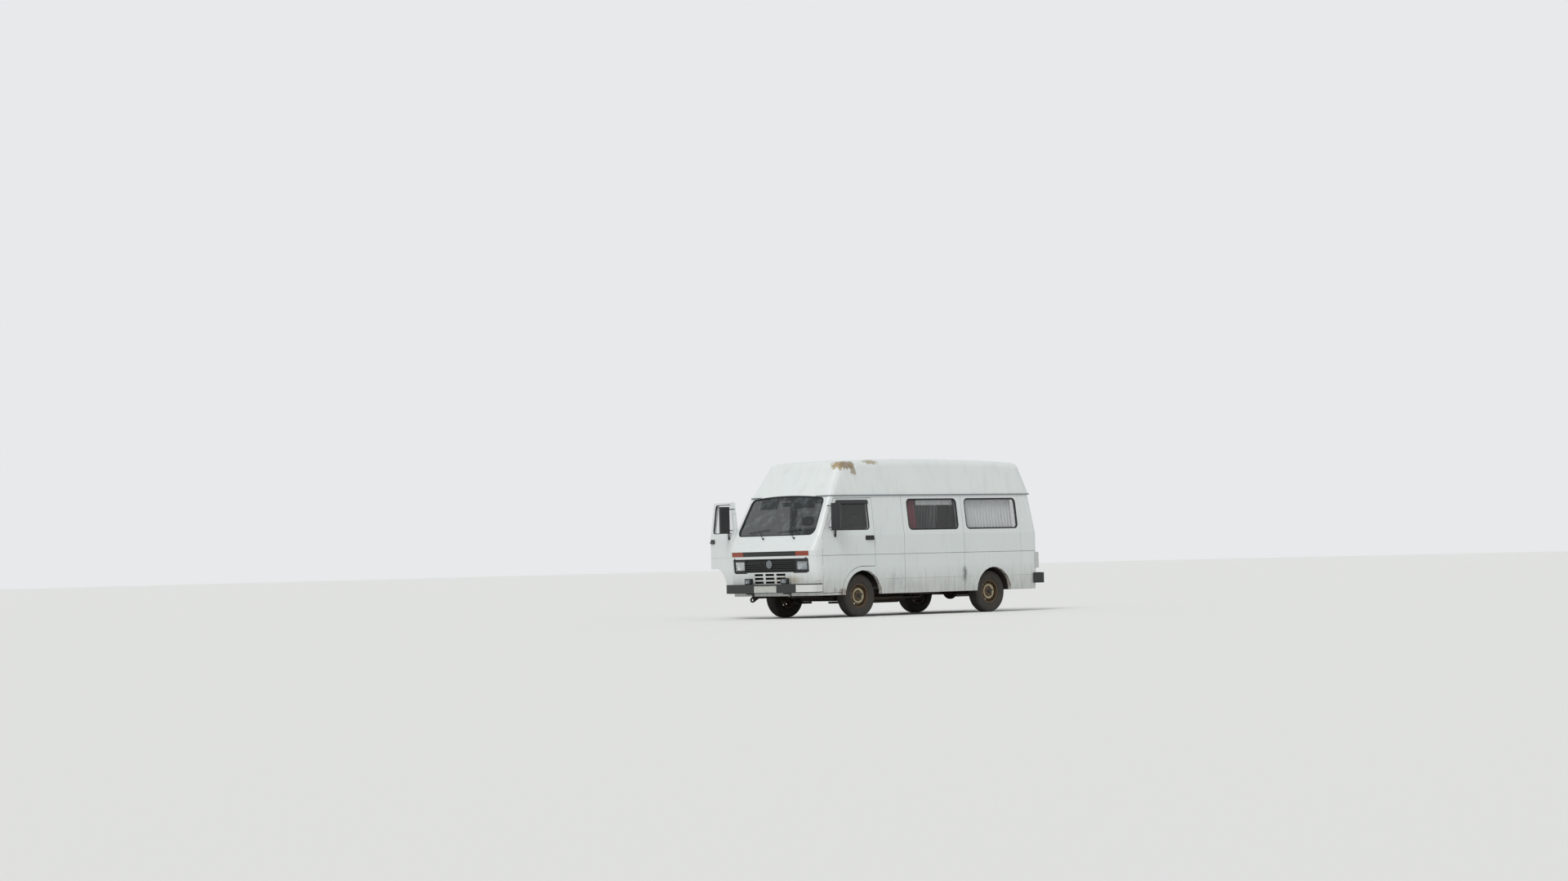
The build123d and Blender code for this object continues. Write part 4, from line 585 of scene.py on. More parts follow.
def shell(*grids):
    """A closed solid between two grids of points, each a list of rows."""
    work = bmesh.new()
    near, far = [[[work.verts.new(point) for point in row] for row in grid] for grid in grids]
    rows, columns = len(near) - 1, len(near[0]) - 1
    for skin in (near, far):
        for j in range(rows):
            for i in range(columns):
                work.faces.new((skin[j][i], skin[j][i + 1], skin[j + 1][i + 1], skin[j + 1][i]))
    for j in range(rows):
        for i in (0, columns):
            work.faces.new((near[j][i], near[j + 1][i], far[j + 1][i], far[j][i]))
    for i in range(columns):
        for j in (0, rows):
            work.faces.new((near[j][i], near[j][i + 1], far[j][i + 1], far[j][i]))
    return from_bmesh(work)


def outline_path(middle, half_size, corner, place):
    """Points round a rounded rectangle, each turned into a place by a function of two lengths."""
    points = []
    for side_a, side_b, first in ((1, 1, 0), (-1, 1, 90), (-1, -1, 180), (1, -1, 270)):
        for angle in (math.radians(first + 15 * k) for k in range(7)):
            points.append(place(middle[0] + side_a * (half_size[0] - corner) + corner * math.cos(angle),
                                middle[1] + side_b * (half_size[1] - corner) + corner * math.sin(angle)))
    return points


# %% [markdown]
# Rubber beads, tread blocks, wheel nuts and ribs all repeat or follow a path, so Geometry Nodes
# make them.
# A tree is built once, with named inputs for its sizes, and a helper sets those inputs by their
# identifiers and turns the result into a plain mesh.

# %% Geometry Nodes helpers
def new_tree(name, sockets):
    """A tree with a geometry input, the named inputs of a table and an input for a finish."""
    tree = bpy.data.node_groups.new(name, "GeometryNodeTree")
    tree.interface.new_socket("Geometry", in_out="INPUT", socket_type="NodeSocketGeometry")
    tree.interface.new_socket("Geometry", in_out="OUTPUT", socket_type="NodeSocketGeometry")
    for label, kind in {**sockets, "Finish": "NodeSocketMaterial"}.items():
        tree.interface.new_socket(label, in_out="INPUT", socket_type=kind)
    return tree, add(tree, "NodeGroupInput").outputs


def close_tree(tree, entry, geometry):
    """Gives the geometry the finish and sends it out of the tree."""
    painted = add(tree, "GeometryNodeSetMaterial", {"Geometry": geometry, "Material": entry["Finish"]})
    add(tree, "NodeGroupOutput", {0: painted})


def result_of(holder):
    """The mesh of an object with its modifiers applied."""
    graph = bpy.context.evaluated_depsgraph_get()
    return bpy.data.meshes.new_from_object(holder.evaluated_get(graph))


def grown(source, tree, finish_used, **values):
    """The plain mesh that a tree makes from a source mesh, its inputs set by socket identifier."""
    holder = show("growing", source)
    modifier = holder.modifiers.new("grow", "NODES")
    modifier.node_group = tree
    values["Finish"] = finish_used
    for socket in tree.interface.items_tree:
        if socket.in_out == "INPUT" and socket.name in values:
            modifier[socket.identifier] = values[socket.name]
    made = result_of(holder)
    bpy.data.objects.remove(holder)
    return made


bead_tree, entry = new_tree("bead_along_edges", {"Radius": "NodeSocketFloat"})
bead_path = add(bead_tree, "GeometryNodeMeshToCurve", {0: entry["Geometry"]})
bead_round = add(bead_tree, "GeometryNodeCurvePrimitiveCircle", {"Resolution": 10, "Radius": entry["Radius"]})
close_tree(bead_tree, entry, add(bead_tree, "GeometryNodeCurveToMesh", (bead_path, bead_round)))

ring_tree, entry = new_tree("ring_of_copies", {
    "Count": "NodeSocketInt", "Phase": "NodeSocketFloat", "Centre": "NodeSocketVector"})
spots = add(ring_tree, "GeometryNodePoints", {"Count": entry["Count"]})
index = add(ring_tree, "GeometryNodeInputIndex")
share = add(ring_tree, "Math", (index, entry["Phase"]), operation="ADD")
share = add(ring_tree, "Math", (share, entry["Count"]), operation="DIVIDE")
turn = add(ring_tree, "Math", (share, 2 * math.pi), operation="MULTIPLY")
turn = add(ring_tree, "CombineXYZ", {"Y": turn})
copies = add(ring_tree, "GeometryNodeInstanceOnPoints", {"Points": spots, "Instance": entry["Geometry"],
                                                         "Rotation": turn})
real = add(ring_tree, "GeometryNodeRealizeInstances", {0: copies})
close_tree(ring_tree, entry,
           add(ring_tree, "GeometryNodeTransform", {"Geometry": real, "Translation": entry["Centre"]}))

row_tree, entry = new_tree("row_of_copies", {"Count": "NodeSocketInt", "Step": "NodeSocketVector"})
spots = add(row_tree, "GeometryNodePoints", {"Count": entry["Count"]})
index = add(row_tree, "GeometryNodeInputIndex")
offset = add(row_tree, "VectorMath", {0: entry["Step"], "Scale": index}, operation="SCALE")
placed = add(row_tree, "GeometryNodeSetPosition", {"Geometry": spots, "Offset": offset})
copies = add(row_tree, "GeometryNodeInstanceOnPoints", {"Points": placed, "Instance": entry["Geometry"]})
close_tree(row_tree, entry, add(row_tree, "GeometryNodeRealizeInstances", {0: copies}))
print("node trees:", [g.name for g in bpy.data.node_groups])

# %% [markdown]
# Every pane sits in a black rubber seal, which covers the joint between glass and steel.
# Its path is the rim of the pane itself, so it is read from the CAD pane: the sharp edges of a
# pane form one loop on its outer face and one on its inner face, and the outer one is kept.

# %% Window seals
van_middle = Vector((-1.5, 0.0, 1.4))
rim_angle = math.radians(50)
pane_reach = 0.03


def outer_rims(node_name):
    """The loops of points round the outer face of each pane of a CAD node."""
    work = cad_bmesh(node_name)
    beside = {}
    for edge in work.edges:
        if len(edge.link_faces) == 2 and edge.calc_face_angle() > rim_angle:
            for here, there in (edge.verts, reversed(edge.verts)):
                beside.setdefault(here.index, []).append(there.index)
    spots = {v.index: v.co.copy() for v in work.verts}
    work.free()
    loops = []
    while beside:
        loop, here = [], next(iter(beside))
        while here in beside:
            loop.append(spots[here])
            here = next((n for n in beside.pop(here) if n in beside), None)
        loops.append(loop)
    middles = [sum(loop, Vector()) / len(loop) for loop in loops]
    kept = []
    for loop, middle in zip(loops, middles):
        twins = [other for other in middles if (other - middle).length < pane_reach]
        if middle == max(twins, key=lambda other: (other - van_middle).length):
            kept.append(loop)
    return kept


def bead_on(loops, radius, finish_used):
    """A round bead of one radius along closed loops of points."""
    path = bpy.data.meshes.new("path")
    edges = []
    for loop in loops:
        first, count = len(edges), len(loop)
        edges += [(first + i, first + (i + 1) % count) for i in range(count)]
    path.from_pydata([point for loop in loops for point in loop], edges, [])
    return grown(path, bead_tree, finish_used, Radius=radius)


seal_table = {  # pane node: bead radius in metres, body
    "windscreen": (0.015, "root"), "side_windows": (0.016, "root"),
    "door_glass_left": (0.012, "door_left"), "door_glass_right": (0.012, "door_right"),
    "rear_glass_left": (0.010, "rear_door_left"), "rear_glass_right": (0.010, "rear_door_right"),
}
for pane, (radius, body) in seal_table.items():
    rims = outer_rims(pane)
    put(pane + "_seal", bead_on(rims, radius, seal_rubber), seal_rubber, body=body)
    print(pane, "seal round", len(rims), "panes")

# %% [markdown]
# A real tyre is a rounded carcass with a tread of rubber blocks between grooves.
# The carcass is a profile turned about the axle. Five rings of blocks and one on each shoulder are
# copied round it, shifted against each other as tread patterns are.
# The tyre's sizes come from the CAD tyre that it stands for, so it touches the ground as that does.

# %% Tyres with tread
tread_rows = (-0.058, -0.029, 0.0, 0.029, 0.058)
tread_count = 56
block_depth = 0.008
block_width = 0.024
block_length = 0.029
row_shift = 0.37  # of one block's pitch
bead_radius = 0.182
tyre_low, tyre_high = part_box("tyre_front_left")
tyre_outer = (tyre_high.z - tyre_low.z) / 2
tyre_half = (tyre_high.y - tyre_low.y) / 2
groove = tyre_outer - block_depth
mirror_side = Matrix.Diagonal((1, -1, 1, 1))
wheels = {"front_left": 1, "front_right": -1, "rear_left": 1, "rear_right": -1}  # which way is outward
outer_half = [
    (bead_radius, 0.062), (bead_radius + 0.010, 0.070), (0.200, 0.078), (0.203, 0.086), (0.222, 0.094),
    (0.226, 0.0985), (0.231, 0.0985), (0.236, 0.0975), (0.258, tyre_half - 0.001),
    (0.280, tyre_half - 0.0015), (0.300, 0.0945), (0.303, 0.0945), (0.306, 0.0905), (0.318, 0.084),
    (groove - 0.001, 0.076), (groove, 0.066),
]
tyre_profile = [*outer_half, (groove, 0.03), (groove, 0.0), (groove, -0.03),
                *[(r, -y) for r, y in reversed(outer_half)]]
tread_block = block((-block_length / 2, -block_width / 2, groove - 0.004),
                    (block_length / 2, block_width / 2, tyre_outer - 0.0006), 0.0015, 1)
shoulder_block = block((-0.011, 0.074, groove - 0.022), (0.011, 0.090, groove - 0.0035), 0.002, 1)
tread_sources = [(moved(tread_block, at(0, y, 0)), row_shift * row) for row, y in enumerate(tread_rows)]
tread_sources += [(shoulder_block, 0.5), (moved(shoulder_block, mirror_side), 0.5)]


def middle_of(node_name):
    """The middle of a CAD node's box."""
    low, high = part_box(node_name)
    return (low + high) / 2


for wheel in wheels:
    centre = middle_of("tyre_" + wheel)
    treads = [grown(source, ring_tree, tyre_rubber, Count=tread_count, Phase=phase, Centre=centre)
              for source, phase in tread_sources]
    put("tread_tyre_" + wheel, joined(moved(turned(tyre_profile, 96), at(*centre)), *treads), tyre_rubber,
        "tyre_rubber", "wheel_" + wheel, ["tyre_" + wheel])
print("tread blocks a tyre:", tread_count * len(tread_sources))

# %% [markdown]
# Each pressed steel wheel is held by five conical nuts round a black plastic centre cap, and has a
# rubber valve near its rim.
# A nut is a hexagon on a cone, so its profile is turned in six steps and copied round the hub.

# %% Wheel nuts, caps and valves
nut_circle = 0.070
valve_circle = 0.152
# Zinc plate gone rusty: small brown glints in a ring on each wheel.
nut_steel = finish("rusty_zinc_plated_nut", "#7b756c", "#5d4a3b", 0.45, patch=0.01, grain=0.002,
                   relief=0.0004, Metallic=0.8)
nut_profile = [(0.0, 0.0), (0.0125, 0.0), (0.0115, 0.016), (0.0085, 0.021), (0.0, 0.0215)]
cap_profile = [(0.0, -0.004), (0.034, -0.004), (0.034, 0.012), (0.030, 0.020), (0.018, 0.026), (0.0, 0.028)]
valve_profile = [(0.0, -0.004), (0.006, -0.004), (0.005, 0.014), (0.004, 0.028), (0.0, 0.030)]
hub = middle_of("rim_front_left")
disc_face = max(v.co.y - hub.y for v in nodes["rim_front_left"].data.vertices
                if math.hypot(v.co.x - hub.x, v.co.z - hub.z) < nut_circle + 0.015)
nut = moved(turned(nut_profile, 6), at(0, disc_face, nut_circle))
nut_ring = grown(nut, ring_tree, nut_steel, Count=5)
cap = moved(turned(cap_profile, 40), at(0, disc_face, 0))
valve = moved(turned(valve_profile, 12), at(0, 0.030, valve_circle))
for wheel, outward in wheels.items():
    face = at(*middle_of("rim_" + wheel)) @ Matrix.Diagonal((1, outward, 1, 1))
    for name, mesh, used, record_slot in (("wheel_nuts_", nut_ring, nut_steel, "bare_steel"),
                                          ("hub_cap_", cap, black_plastic, "black_plastic"),
                                          ("tyre_valve_", valve, seal_rubber, "black_plastic")):
        put(name + wheel, moved(mesh, face), used, record_slot, "wheel_" + wheel)
print("wheel disc stands", round(disc_face, 3), "m out from the wheel's middle")

# %% [markdown]
# Linings and trim lie on the steel that carries them, so their shape is read from it.
# The sheet helper keeps the chosen faces of a CAD node, lifts them off the surface by the normals
# of their corners, and closes them with a second skin and a rim.

# %% Sheets that follow a CAD surface
same_way = 0.98


def sheet_on(node_name, wanted, thickness=0.003, lift=0.0005):
    """A closed sheet over those faces of a CAD node whose middle and normal pass a test."""
    source = cad_bmesh(node_name)
    kept = [f for f in source.faces if wanted(f.calc_center_median(), f.normal)]
    normals = {}
    for face in kept:
        for vert in face.verts:
            known = normals.setdefault(vert, [])
            if all(face.normal.dot(other) < same_way for other in known):
                known.append(face.normal.copy())
    work = bmesh.new()
    near, far = {}, {}
    for vert, known in normals.items():
        way = sum(known, Vector()).normalized()
        near[vert] = work.verts.new(vert.co + way * lift)
        far[vert] = work.verts.new(vert.co + way * (lift + thickness))
    rim = {}
    for face in kept:
        corners = list(face.verts)
        work.faces.new([far[v] for v in corners])
        work.faces.new([near[v] for v in reversed(corners)])
        for here, there in zip(corners, corners[1:] + corners[:1]):
            if rim.pop((there, here), None) is None:
                rim[(here, there)] = True
    for here, there in rim:
        work.faces.new((far[here], near[here], near[there], far[there]))
    source.free()
    return from_bmesh(work)


step_height, shoulder_height = 0.590, 1.065
step_front, shoulder_front = 1.066, 1.105
bow_radius = 9.834


def bow_at(y):
    """How far the bowed front falls back from its middle."""
    return bow_radius - math.sqrt(bow_radius ** 2 - y ** 2)


def nose_face(y, z):
    """How far forward the bowed front skin stands between its step and its shoulder."""
    rise = (z - step_height) / (shoulder_height - step_height)
    return step_front + rise * (shoulder_front - step_front) - bow_at(y)


def rod(start, end, radius, steps=12):
    """A round bar between two points."""
    start, end = Vector(start), Vector(end)
    length = (end - start).length
    bar = turned([(0.0, 0.0), (radius, 0.0), (radius, length), (0.0, length)], steps, "Z")
    way = (end - start).to_track_quat("Z", "Y").to_matrix().to_4x4()
    return moved(bar, at(*start) @ way)


door_hinge = at(0.868, -1.010, 0.0)
right_door_turn = door_hinge @ Matrix.Rotation(math.radians(door_opening), 4, "Z") @ door_hinge.inverted()
door_places = {"left": Matrix.Identity(4), "right": right_door_turn @ mirror_side}
print("sheet helpers ready")

# %% [markdown]
# Inside, boards line the steel: brown ply on the walls of the living space, vinyl on the cab
# doors and a pale cloth on the roof.
# Without them the white backs of the panels would glow through the glass, as no van's do.

# %% Linings
# Varnished plywood: a brown that keeps the inside dark behind the glass.
wall_board = finish("brown_ply_wall_board", "#4a3a2b", "#5c4936", 0.55, patch=0.12)
# Embossed vinyl: a soft black whose grain takes the light only at its edges.
door_vinyl = finish("black_door_vinyl", "#26241f", "#312e29", 0.62, patch=0.10, grain=0.002, relief=0.0006)
# Foam-backed knit: a pale grey with no shine at all.
roof_cloth = finish("grey_roof_lining", "#8b8880", "#7b7870", 0.90, patch=0.20, relief=0.0004)
roof_middle = Vector((-1.6, 0, 1.9))
board_rear, board_front, board_foot = -3.87, -0.28, 0.62
trim_foot, trim_head = 0.52, 1.30
lining_foot = 1.93


def wall_inside(middle, normal):
    """Whether a face is on the inner side of the wall between the cab and the rear frame."""
    return (normal.y * middle.y < -0.3 and middle.z > board_foot and 0.80 < abs(middle.y) < 0.968
            and board_rear < middle.x < board_front)


for node_name in ("side_wall_left", "side_wall_right", "sliding_door", "rear_frame"):
    put("wall_board_" + node_name, sheet_on(node_name, wall_inside), wall_board, "dash_plastic")
for side, place in door_places.items():
    unturned = place.inverted()

    def door_inside(middle, normal):
        spot = unturned @ middle
        inward = (unturned.to_3x3() @ normal).y < -0.9
        return inward and 0.90 < spot.y < 0.958 and trim_foot < spot.z < trim_head

    trim = sheet_on(f"door_front_{side}", door_inside, 0.006)
    put(f"door_trim_{side}", trim, door_vinyl, body=f"door_{side}")
    board = sheet_on(f"rear_door_{side}", lambda middle, normal: normal.x > 0.9 and middle.x > -3.96)
    put(f"rear_door_board_{side}", board, wall_board, "dash_plastic", f"rear_door_{side}")
headlining = sheet_on("high_roof", lambda middle, normal: normal.dot(middle - roof_middle) < 0
                      and middle.z > lining_foot)
put("headlining", headlining, roof_cloth, "dash_plastic")
print("headlining faces:", len(headlining.polygons))

# %% [markdown]
# A rectangular headlamp is a silvered bowl with a bulb in it, behind a moulded glass lens whose
# upright flutes spread the beam.
# The fog lamps are the same thing, smaller, in black tubs that hang below a short hood.
# A headlamp's lens follows the bowed front of the van, so its points are set back from that surface.

# %% Headlamps and fog lamps
# Pressed steel silvered in vacuum: a mirror that makes the lamp eyes bright.
silvered = finish("silvered_reflector", "#e2e4e6", "#c9ccd0", 0.10, patch=0.05, grain=0.004, relief=0.0001,
                  Metallic=1.0)
# Blown glass: a clear bead with one sharp highlight.
bulb_glass = finish("bulb_glass", "#f4f6f6", "#e6eaea", 0.03, grain=0.01, relief=0.0, Transmission_Weight=1.0,
                    IOR=1.47)
lamp_finishes = {"lenses": lamp_glass, "bowls": silvered, "bulbs": bulb_glass, "rims": black_plastic,
                 "tubs": black_plastic}
lamp_set_back = 0.014
lens_thickness = 0.0035
flute_pitch = 0.0062
flute_height = 0.0016
squareness = 6
seat_close = 0.965


def lamp_front(middle, half_size):
    """A fluted pane over a rectangle, following the bowed front."""
    across_steps, up_steps = int(2 * half_size[0] / flute_pitch) * 2, 8
    grids = []
    for back in (0.0, lens_thickness):
        grid = []
        for z in (middle[1] + half_size[1] * (2 * j / up_steps - 1) for j in range(up_steps + 1)):
            row = []
            for i in range(across_steps + 1):
                y = middle[0] + half_size[0] * (2 * i / across_steps - 1)
                ridge = flute_height * (i % 2) if not back and 0 < i < across_steps else 0.0
                row.append((nose_face(y, z) - lamp_set_back - back - flute_height + ridge, y, z))
            grid.append(row)
        grids.append(grid)
    return shell(*grids)


def lamp_bowl(front_x, middle, half_size, depth, wall=0.0015, turns=48, stages=12):
    """A bowl whose rounded rectangular mouth closes to a round seat for the bulb."""
    work = bmesh.new()
    mouths = []
    for skin in (0.0, wall):
        rings = []
        for share in (k / stages for k in range(stages + 1)):
            close = math.sqrt(1 - seat_close * share)
            blend = (1 - share) ** 1.5
            ring = []
            for angle in (2 * math.pi * t / turns for t in range(turns)):
                c, s = math.cos(angle), math.sin(angle)
                square = 1 / (abs(c) ** squareness + abs(s) ** squareness) ** (1 / squareness)
                across = c * (half_size[0] * square * blend + (1 - blend) * half_size[1]) * close
                up = s * (half_size[1] * square * blend + (1 - blend) * half_size[1]) * close
                y = middle[0] + across * (1 + skin / half_size[0])
                z = middle[1] + up * (1 + skin / half_size[1])
                ring.append(work.verts.new((front_x(y) - depth * share - skin, y, z)))
            rings.append(ring)
        work.faces.new(rings[-1])
        mouths.append(rings[0])
        for near, far in zip(rings, rings[1:]):
            for t in range(turns):
                work.faces.new((near[t], near[(t + 1) % turns], far[(t + 1) % turns], far[t]))
    near, far = mouths
    for t in range(turns):
        work.faces.new((near[t], near[(t + 1) % turns], far[(t + 1) % turns], far[t]))
    return from_bmesh(work)


def put_lamps(kind, parts, made):
    """Shows the named parts of a pair of lamps. The first one stands for the CAD node."""
    for i, part in enumerate(parts):
        finish_used = lamp_finishes[part]
        record_slot = "black_plastic" if finish_used == black_plastic else "lamp_glass"
        put(f"{kind}_{part}", joined(*[lamp[i] for lamp in made]), finish_used, record_slot,
            stands_for=() if i else [kind + "s"])


lamp_low, lamp_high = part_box("headlamps")
lamp_half = (0.1165, 0.0700)
lamp_from_middle = 0.719
bulb_set_in, bowl_set_in, bowl_depth = 0.064, 0.008, 0.062
lamp_z = (lamp_low.z + lamp_high.z) / 2
bulb_profile = [(0.0, -0.012), (0.011, -0.012), (0.011, 0.006), (0.0075, 0.008), (0.0075, 0.026),
                (0.0045, 0.031), (0.0, 0.032)]


def lamp_face(y):
    """How far forward the headlamp's glass stands."""
    return nose_face(y, lamp_z) - lamp_set_back


made = []
for middle in ((lamp_from_middle, lamp_z), (-lamp_from_middle, lamp_z)):
    bulb = moved(turned(bulb_profile, 20, "X"), at(lamp_face(middle[0]) - bulb_set_in, *middle))
    loop = outline_path(middle, lamp_half, 0.010, lambda y, z: (lamp_face(y) + 0.0005, y, z))
    bowl = lamp_bowl(lambda y: lamp_face(y) - bowl_set_in, middle, (0.1150, 0.0685), bowl_depth)
    made.append((lamp_front(middle, lamp_half), bowl, bulb, bead_on([loop], 0.0032, black_plastic)))
put_lamps("headlamp", ("lenses", "bowls", "bulbs", "rims"), made)

fog_low, fog_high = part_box("fog_lamps")
fog_z = (fog_low.z + fog_high.z) / 2
fog_front = fog_high.x
fog_from_middle = 0.422
fog_bulb_profile = [(r * 0.6, x * 0.5) for r, x in bulb_profile]
made = []
for y in (fog_from_middle, -fog_from_middle):
    tub = bmesh.new()
    tub.from_mesh(block((fog_low.x, y - 0.070, fog_low.z), (fog_front - 0.004, y + 0.070, fog_high.z),
                        0.012, 4))
    mouth = [f for f in tub.faces if f.normal.x > 0.99]
    bmesh.ops.inset_region(tub, faces=mouth, thickness=0.007, use_even_offset=True)
    bmesh.ops.translate(tub, vec=(-0.030, 0, 0), verts=list({v for f in mouth for v in f.verts}))
    hood = block((fog_front - 0.045, y - 0.068, fog_high.z - 0.0030),
                 (fog_front + 0.007, y + 0.068, fog_high.z - 0.0002), 0.0012)
    lens = block((fog_front - 0.010, y - 0.061, fog_z - 0.036), (fog_front - 0.005, y + 0.061, fog_z + 0.036),
                 0.0018)
    flute = moved(block((-0.0012, -0.0022, -0.033), (0.0012, 0.0022, 0.033), 0.0008, 1),
                  at(fog_front - 0.005, y - 0.054, fog_z))
    flutes = grown(flute, row_tree, lamp_glass, Count=18, Step=(0.0, 0.00635, 0.0))
    bowl = lamp_bowl(lambda y: fog_front - 0.011, (y, fog_z), (0.058, 0.034), 0.022, 0.0010)
    bulb = moved(turned(fog_bulb_profile, 16, "X"), at(fog_front - 0.029, y, fog_z))
    made.append((joined(from_bmesh(tub), hood), joined(lens, flutes), bowl, bulb))
put_lamps("fog_lamp", ("tubs", "lenses", "bowls", "bulbs"), made)
print("lamps made, headlamp lens", [round(2 * v, 3) for v in lamp_half], "m")

# %% [markdown]
# The wipers are pressed steel arms, each with a rubber blade that lies on the screen. Their black paint
# is as dull as the mouldings, so they take that finish.
# The photograph shows their pivots a hand's width further to the van's left than the frame has
# them, so they are slid along the bowed screen, which keeps the blades on the glass.

# %% Wiper arms
wiper_shift = 0.105
work = cad_bmesh("wipers")
for vert in work.verts:
    vert.co.x += bow_at(vert.co.y) - bow_at(vert.co.y + wiper_shift)
    vert.co.y += wiper_shift
put("wiper_arms", from_bmesh(work), black_plastic, stands_for=["wipers"])
print("wipers slid by", wiper_shift, "m")

# %% [markdown]
# The number plate is blank: a pressed aluminium sheet with a raised rim, held by two screws.
# It lies in the shallow place that the front bumper has for it.

# %% Number plate
# Rolled aluminium under a reflective film, dusty: a pale grey with a low gloss.
plate_sheet = finish("dusty_reflective_plate", "#c4c6c0", "#a9aaa2", 0.45, patch=0.06, grain=0.004)
half_y, half_z = 0.260, 0.055
plate_place = (1.178, 0.0, 0.4665)
plate = block((0.0008, -half_y, -half_z), (0.0024, half_y, half_z), 0.0006, 1)
rim_line = outline_path((0, 0), (half_y - 0.006, half_z - 0.006), 0.012, lambda y, z: (0.0026, y, z))
screw = turned([(0.0, 0.0), (0.0055, 0.0), (0.0045, 0.0016), (0.0, 0.0020)], 16, "X")
screws = [moved(screw, at(0.0024, y, 0.0)) for y in (-0.205, 0.205)]
plate = joined(plate, bead_on([rim_line], 0.0018, plate_sheet), *screws)
put("number_plate", moved(plate, at(*plate_place)), plate_sheet, "white_paint")
print("plate", round(2 * half_y, 3), "x", round(2 * half_z, 3), "m")

# %% [markdown]
# Curtains hang from a steel rail inside the side windows: a maroon one pushed to the front of the
# first left window, a short pale valance over the rest of it, and pale ones drawn shut at the rear.
# Cloth gathered on a rail falls in folds that are tight at the heading and open below, so each
# curtain is a wavy sheet whose cut width is measured along its folds.

# %% Curtains
# Dyed cotton: a dark red band behind the glass, as dull as the pale one.
maroon_cloth = finish("maroon_cotton_curtain", "#7d2f3c", "#6b2531", 0.88, patch=0.10, grain=0.0020,
                      relief=0.0006, Sheen_Weight=0.2)
# Drawn steel strip: a thin bright line above the curtains.
rail_steel = finish("curtain_rail_steel", "#8d8f8e", "#7c7e7c", 0.35, grain=0.002, relief=0.0001,
                    Metallic=0.9)
body_half = 1.010
drip_half, belt_height, drip_height = 0.932, 1.285, 1.905
wall_lean = (body_half - drip_half) / (drip_height - belt_height)
curtain_set_in = 0.072
cloth_thickness = 0.0008
fold_steps, down_steps = 14, 18
fold_wander, drop_wander, edge_wander = 0.34, 0.16, 0.006
heading_depth, added_depth, hem_sag = 0.0065, 0.0045, 0.004
curtain_table = (  # name, front and rear x, foot and head z, side, folds, cloth
    ("maroon_curtain", -1.082, -1.292, 1.303, 1.866, 1, 5, maroon_cloth),
    ("valance", -1.326, -2.146, 1.752, 1.866, 1, 13, curtain_cloth),
    ("rear_curtain_left", -2.336, -3.505, 1.303, 1.866, 1, 17, curtain_cloth),
    ("rear_curtain_right", -2.336, -3.574, 1.303, 1.866, -1, 17, curtain_cloth),
)


def wall_y(z):
    """Half width of the outer skin above the belt."""
    return body_half - (z - belt_height) * wall_lean


def measured(line):
    """The length of a line of points."""
    return sum((b - a).length for a, b in zip(line, line[1:]))


for index, (name, front, rear, foot, head, side, folds, cloth) in enumerate(curtain_table):
    grid = []
    for drop in (j / down_steps for j in range(down_steps + 1)):
        z = head + (foot - head) * drop
        depth = heading_depth + added_depth * drop
        line = []
        for share in (i / (folds * fold_steps) for i in range(folds * fold_steps + 1)):
            seed = Vector((share * folds * 0.55 + 7.3 * index, drop * 0.8, 0.0))
            phase = share * folds + fold_wander * noise.noise(seed)
            phase += drop_wander * drop * noise.noise(seed * 2.3)
            swing = math.sin(2 * math.pi * phase) + 0.25 * math.sin(4 * math.pi * phase + 1.3)
            wander = edge_wander * drop * noise.noise(seed * 1.7 + Vector((0, 0, 5)))
            sag = -hem_sag * drop * abs(math.sin(math.pi * phase)) if drop > 0.9 else 0.0
            y = side * (wall_y(z) - curtain_set_in + depth * 0.8 * swing)
            line.append(Vector((front + (rear - front) * share + wander, y, z + sag)))
        grid.append(line)
    flat_width = sum(measured(line) for line in grid) / len(grid)
    flat_length = measured([line[fold_steps // 2] for line in grid])
    half_cloth = Vector((0, cloth_thickness / 2, 0))
    sheet = shell(*[[[p + offset for p in line] for line in grid] for offset in (half_cloth, -half_cloth)])
    piece = put(name, sheet, cloth, "curtain_cloth", stands_for=["curtains"])
    rail_y, rail_z = side * (wall_y(head) - curtain_set_in), head + 0.004
    rail_rod = rod((front + 0.012, rail_y, rail_z), (rear - 0.012, rail_y, rail_z), 0.004)
    rail = put(name + "_rail", rail_rod, rail_steel, "bare_steel")
    print(name, "cut", round(flat_width, 3), "x", round(flat_length, 3), "m")

# %% [markdown]
# The cab has two separate seats in brown tweed, each with a cushion, a backrest and a headrest.
# A pad is foam in a sewn cover, so it starts as a slightly small block, and a cloth simulation with
# a little pressure inside swells it; a cap keeps it within the room that the CAD seat holds.
# Piping follows the seam round its outline.

# %% Cab seats
pad_room = Vector((0.010, 0.010, 0.010))
pad_gap = 0.001
pad_pressure = 4.0
cover_stiffness = 25.0
swelling_frames = 20


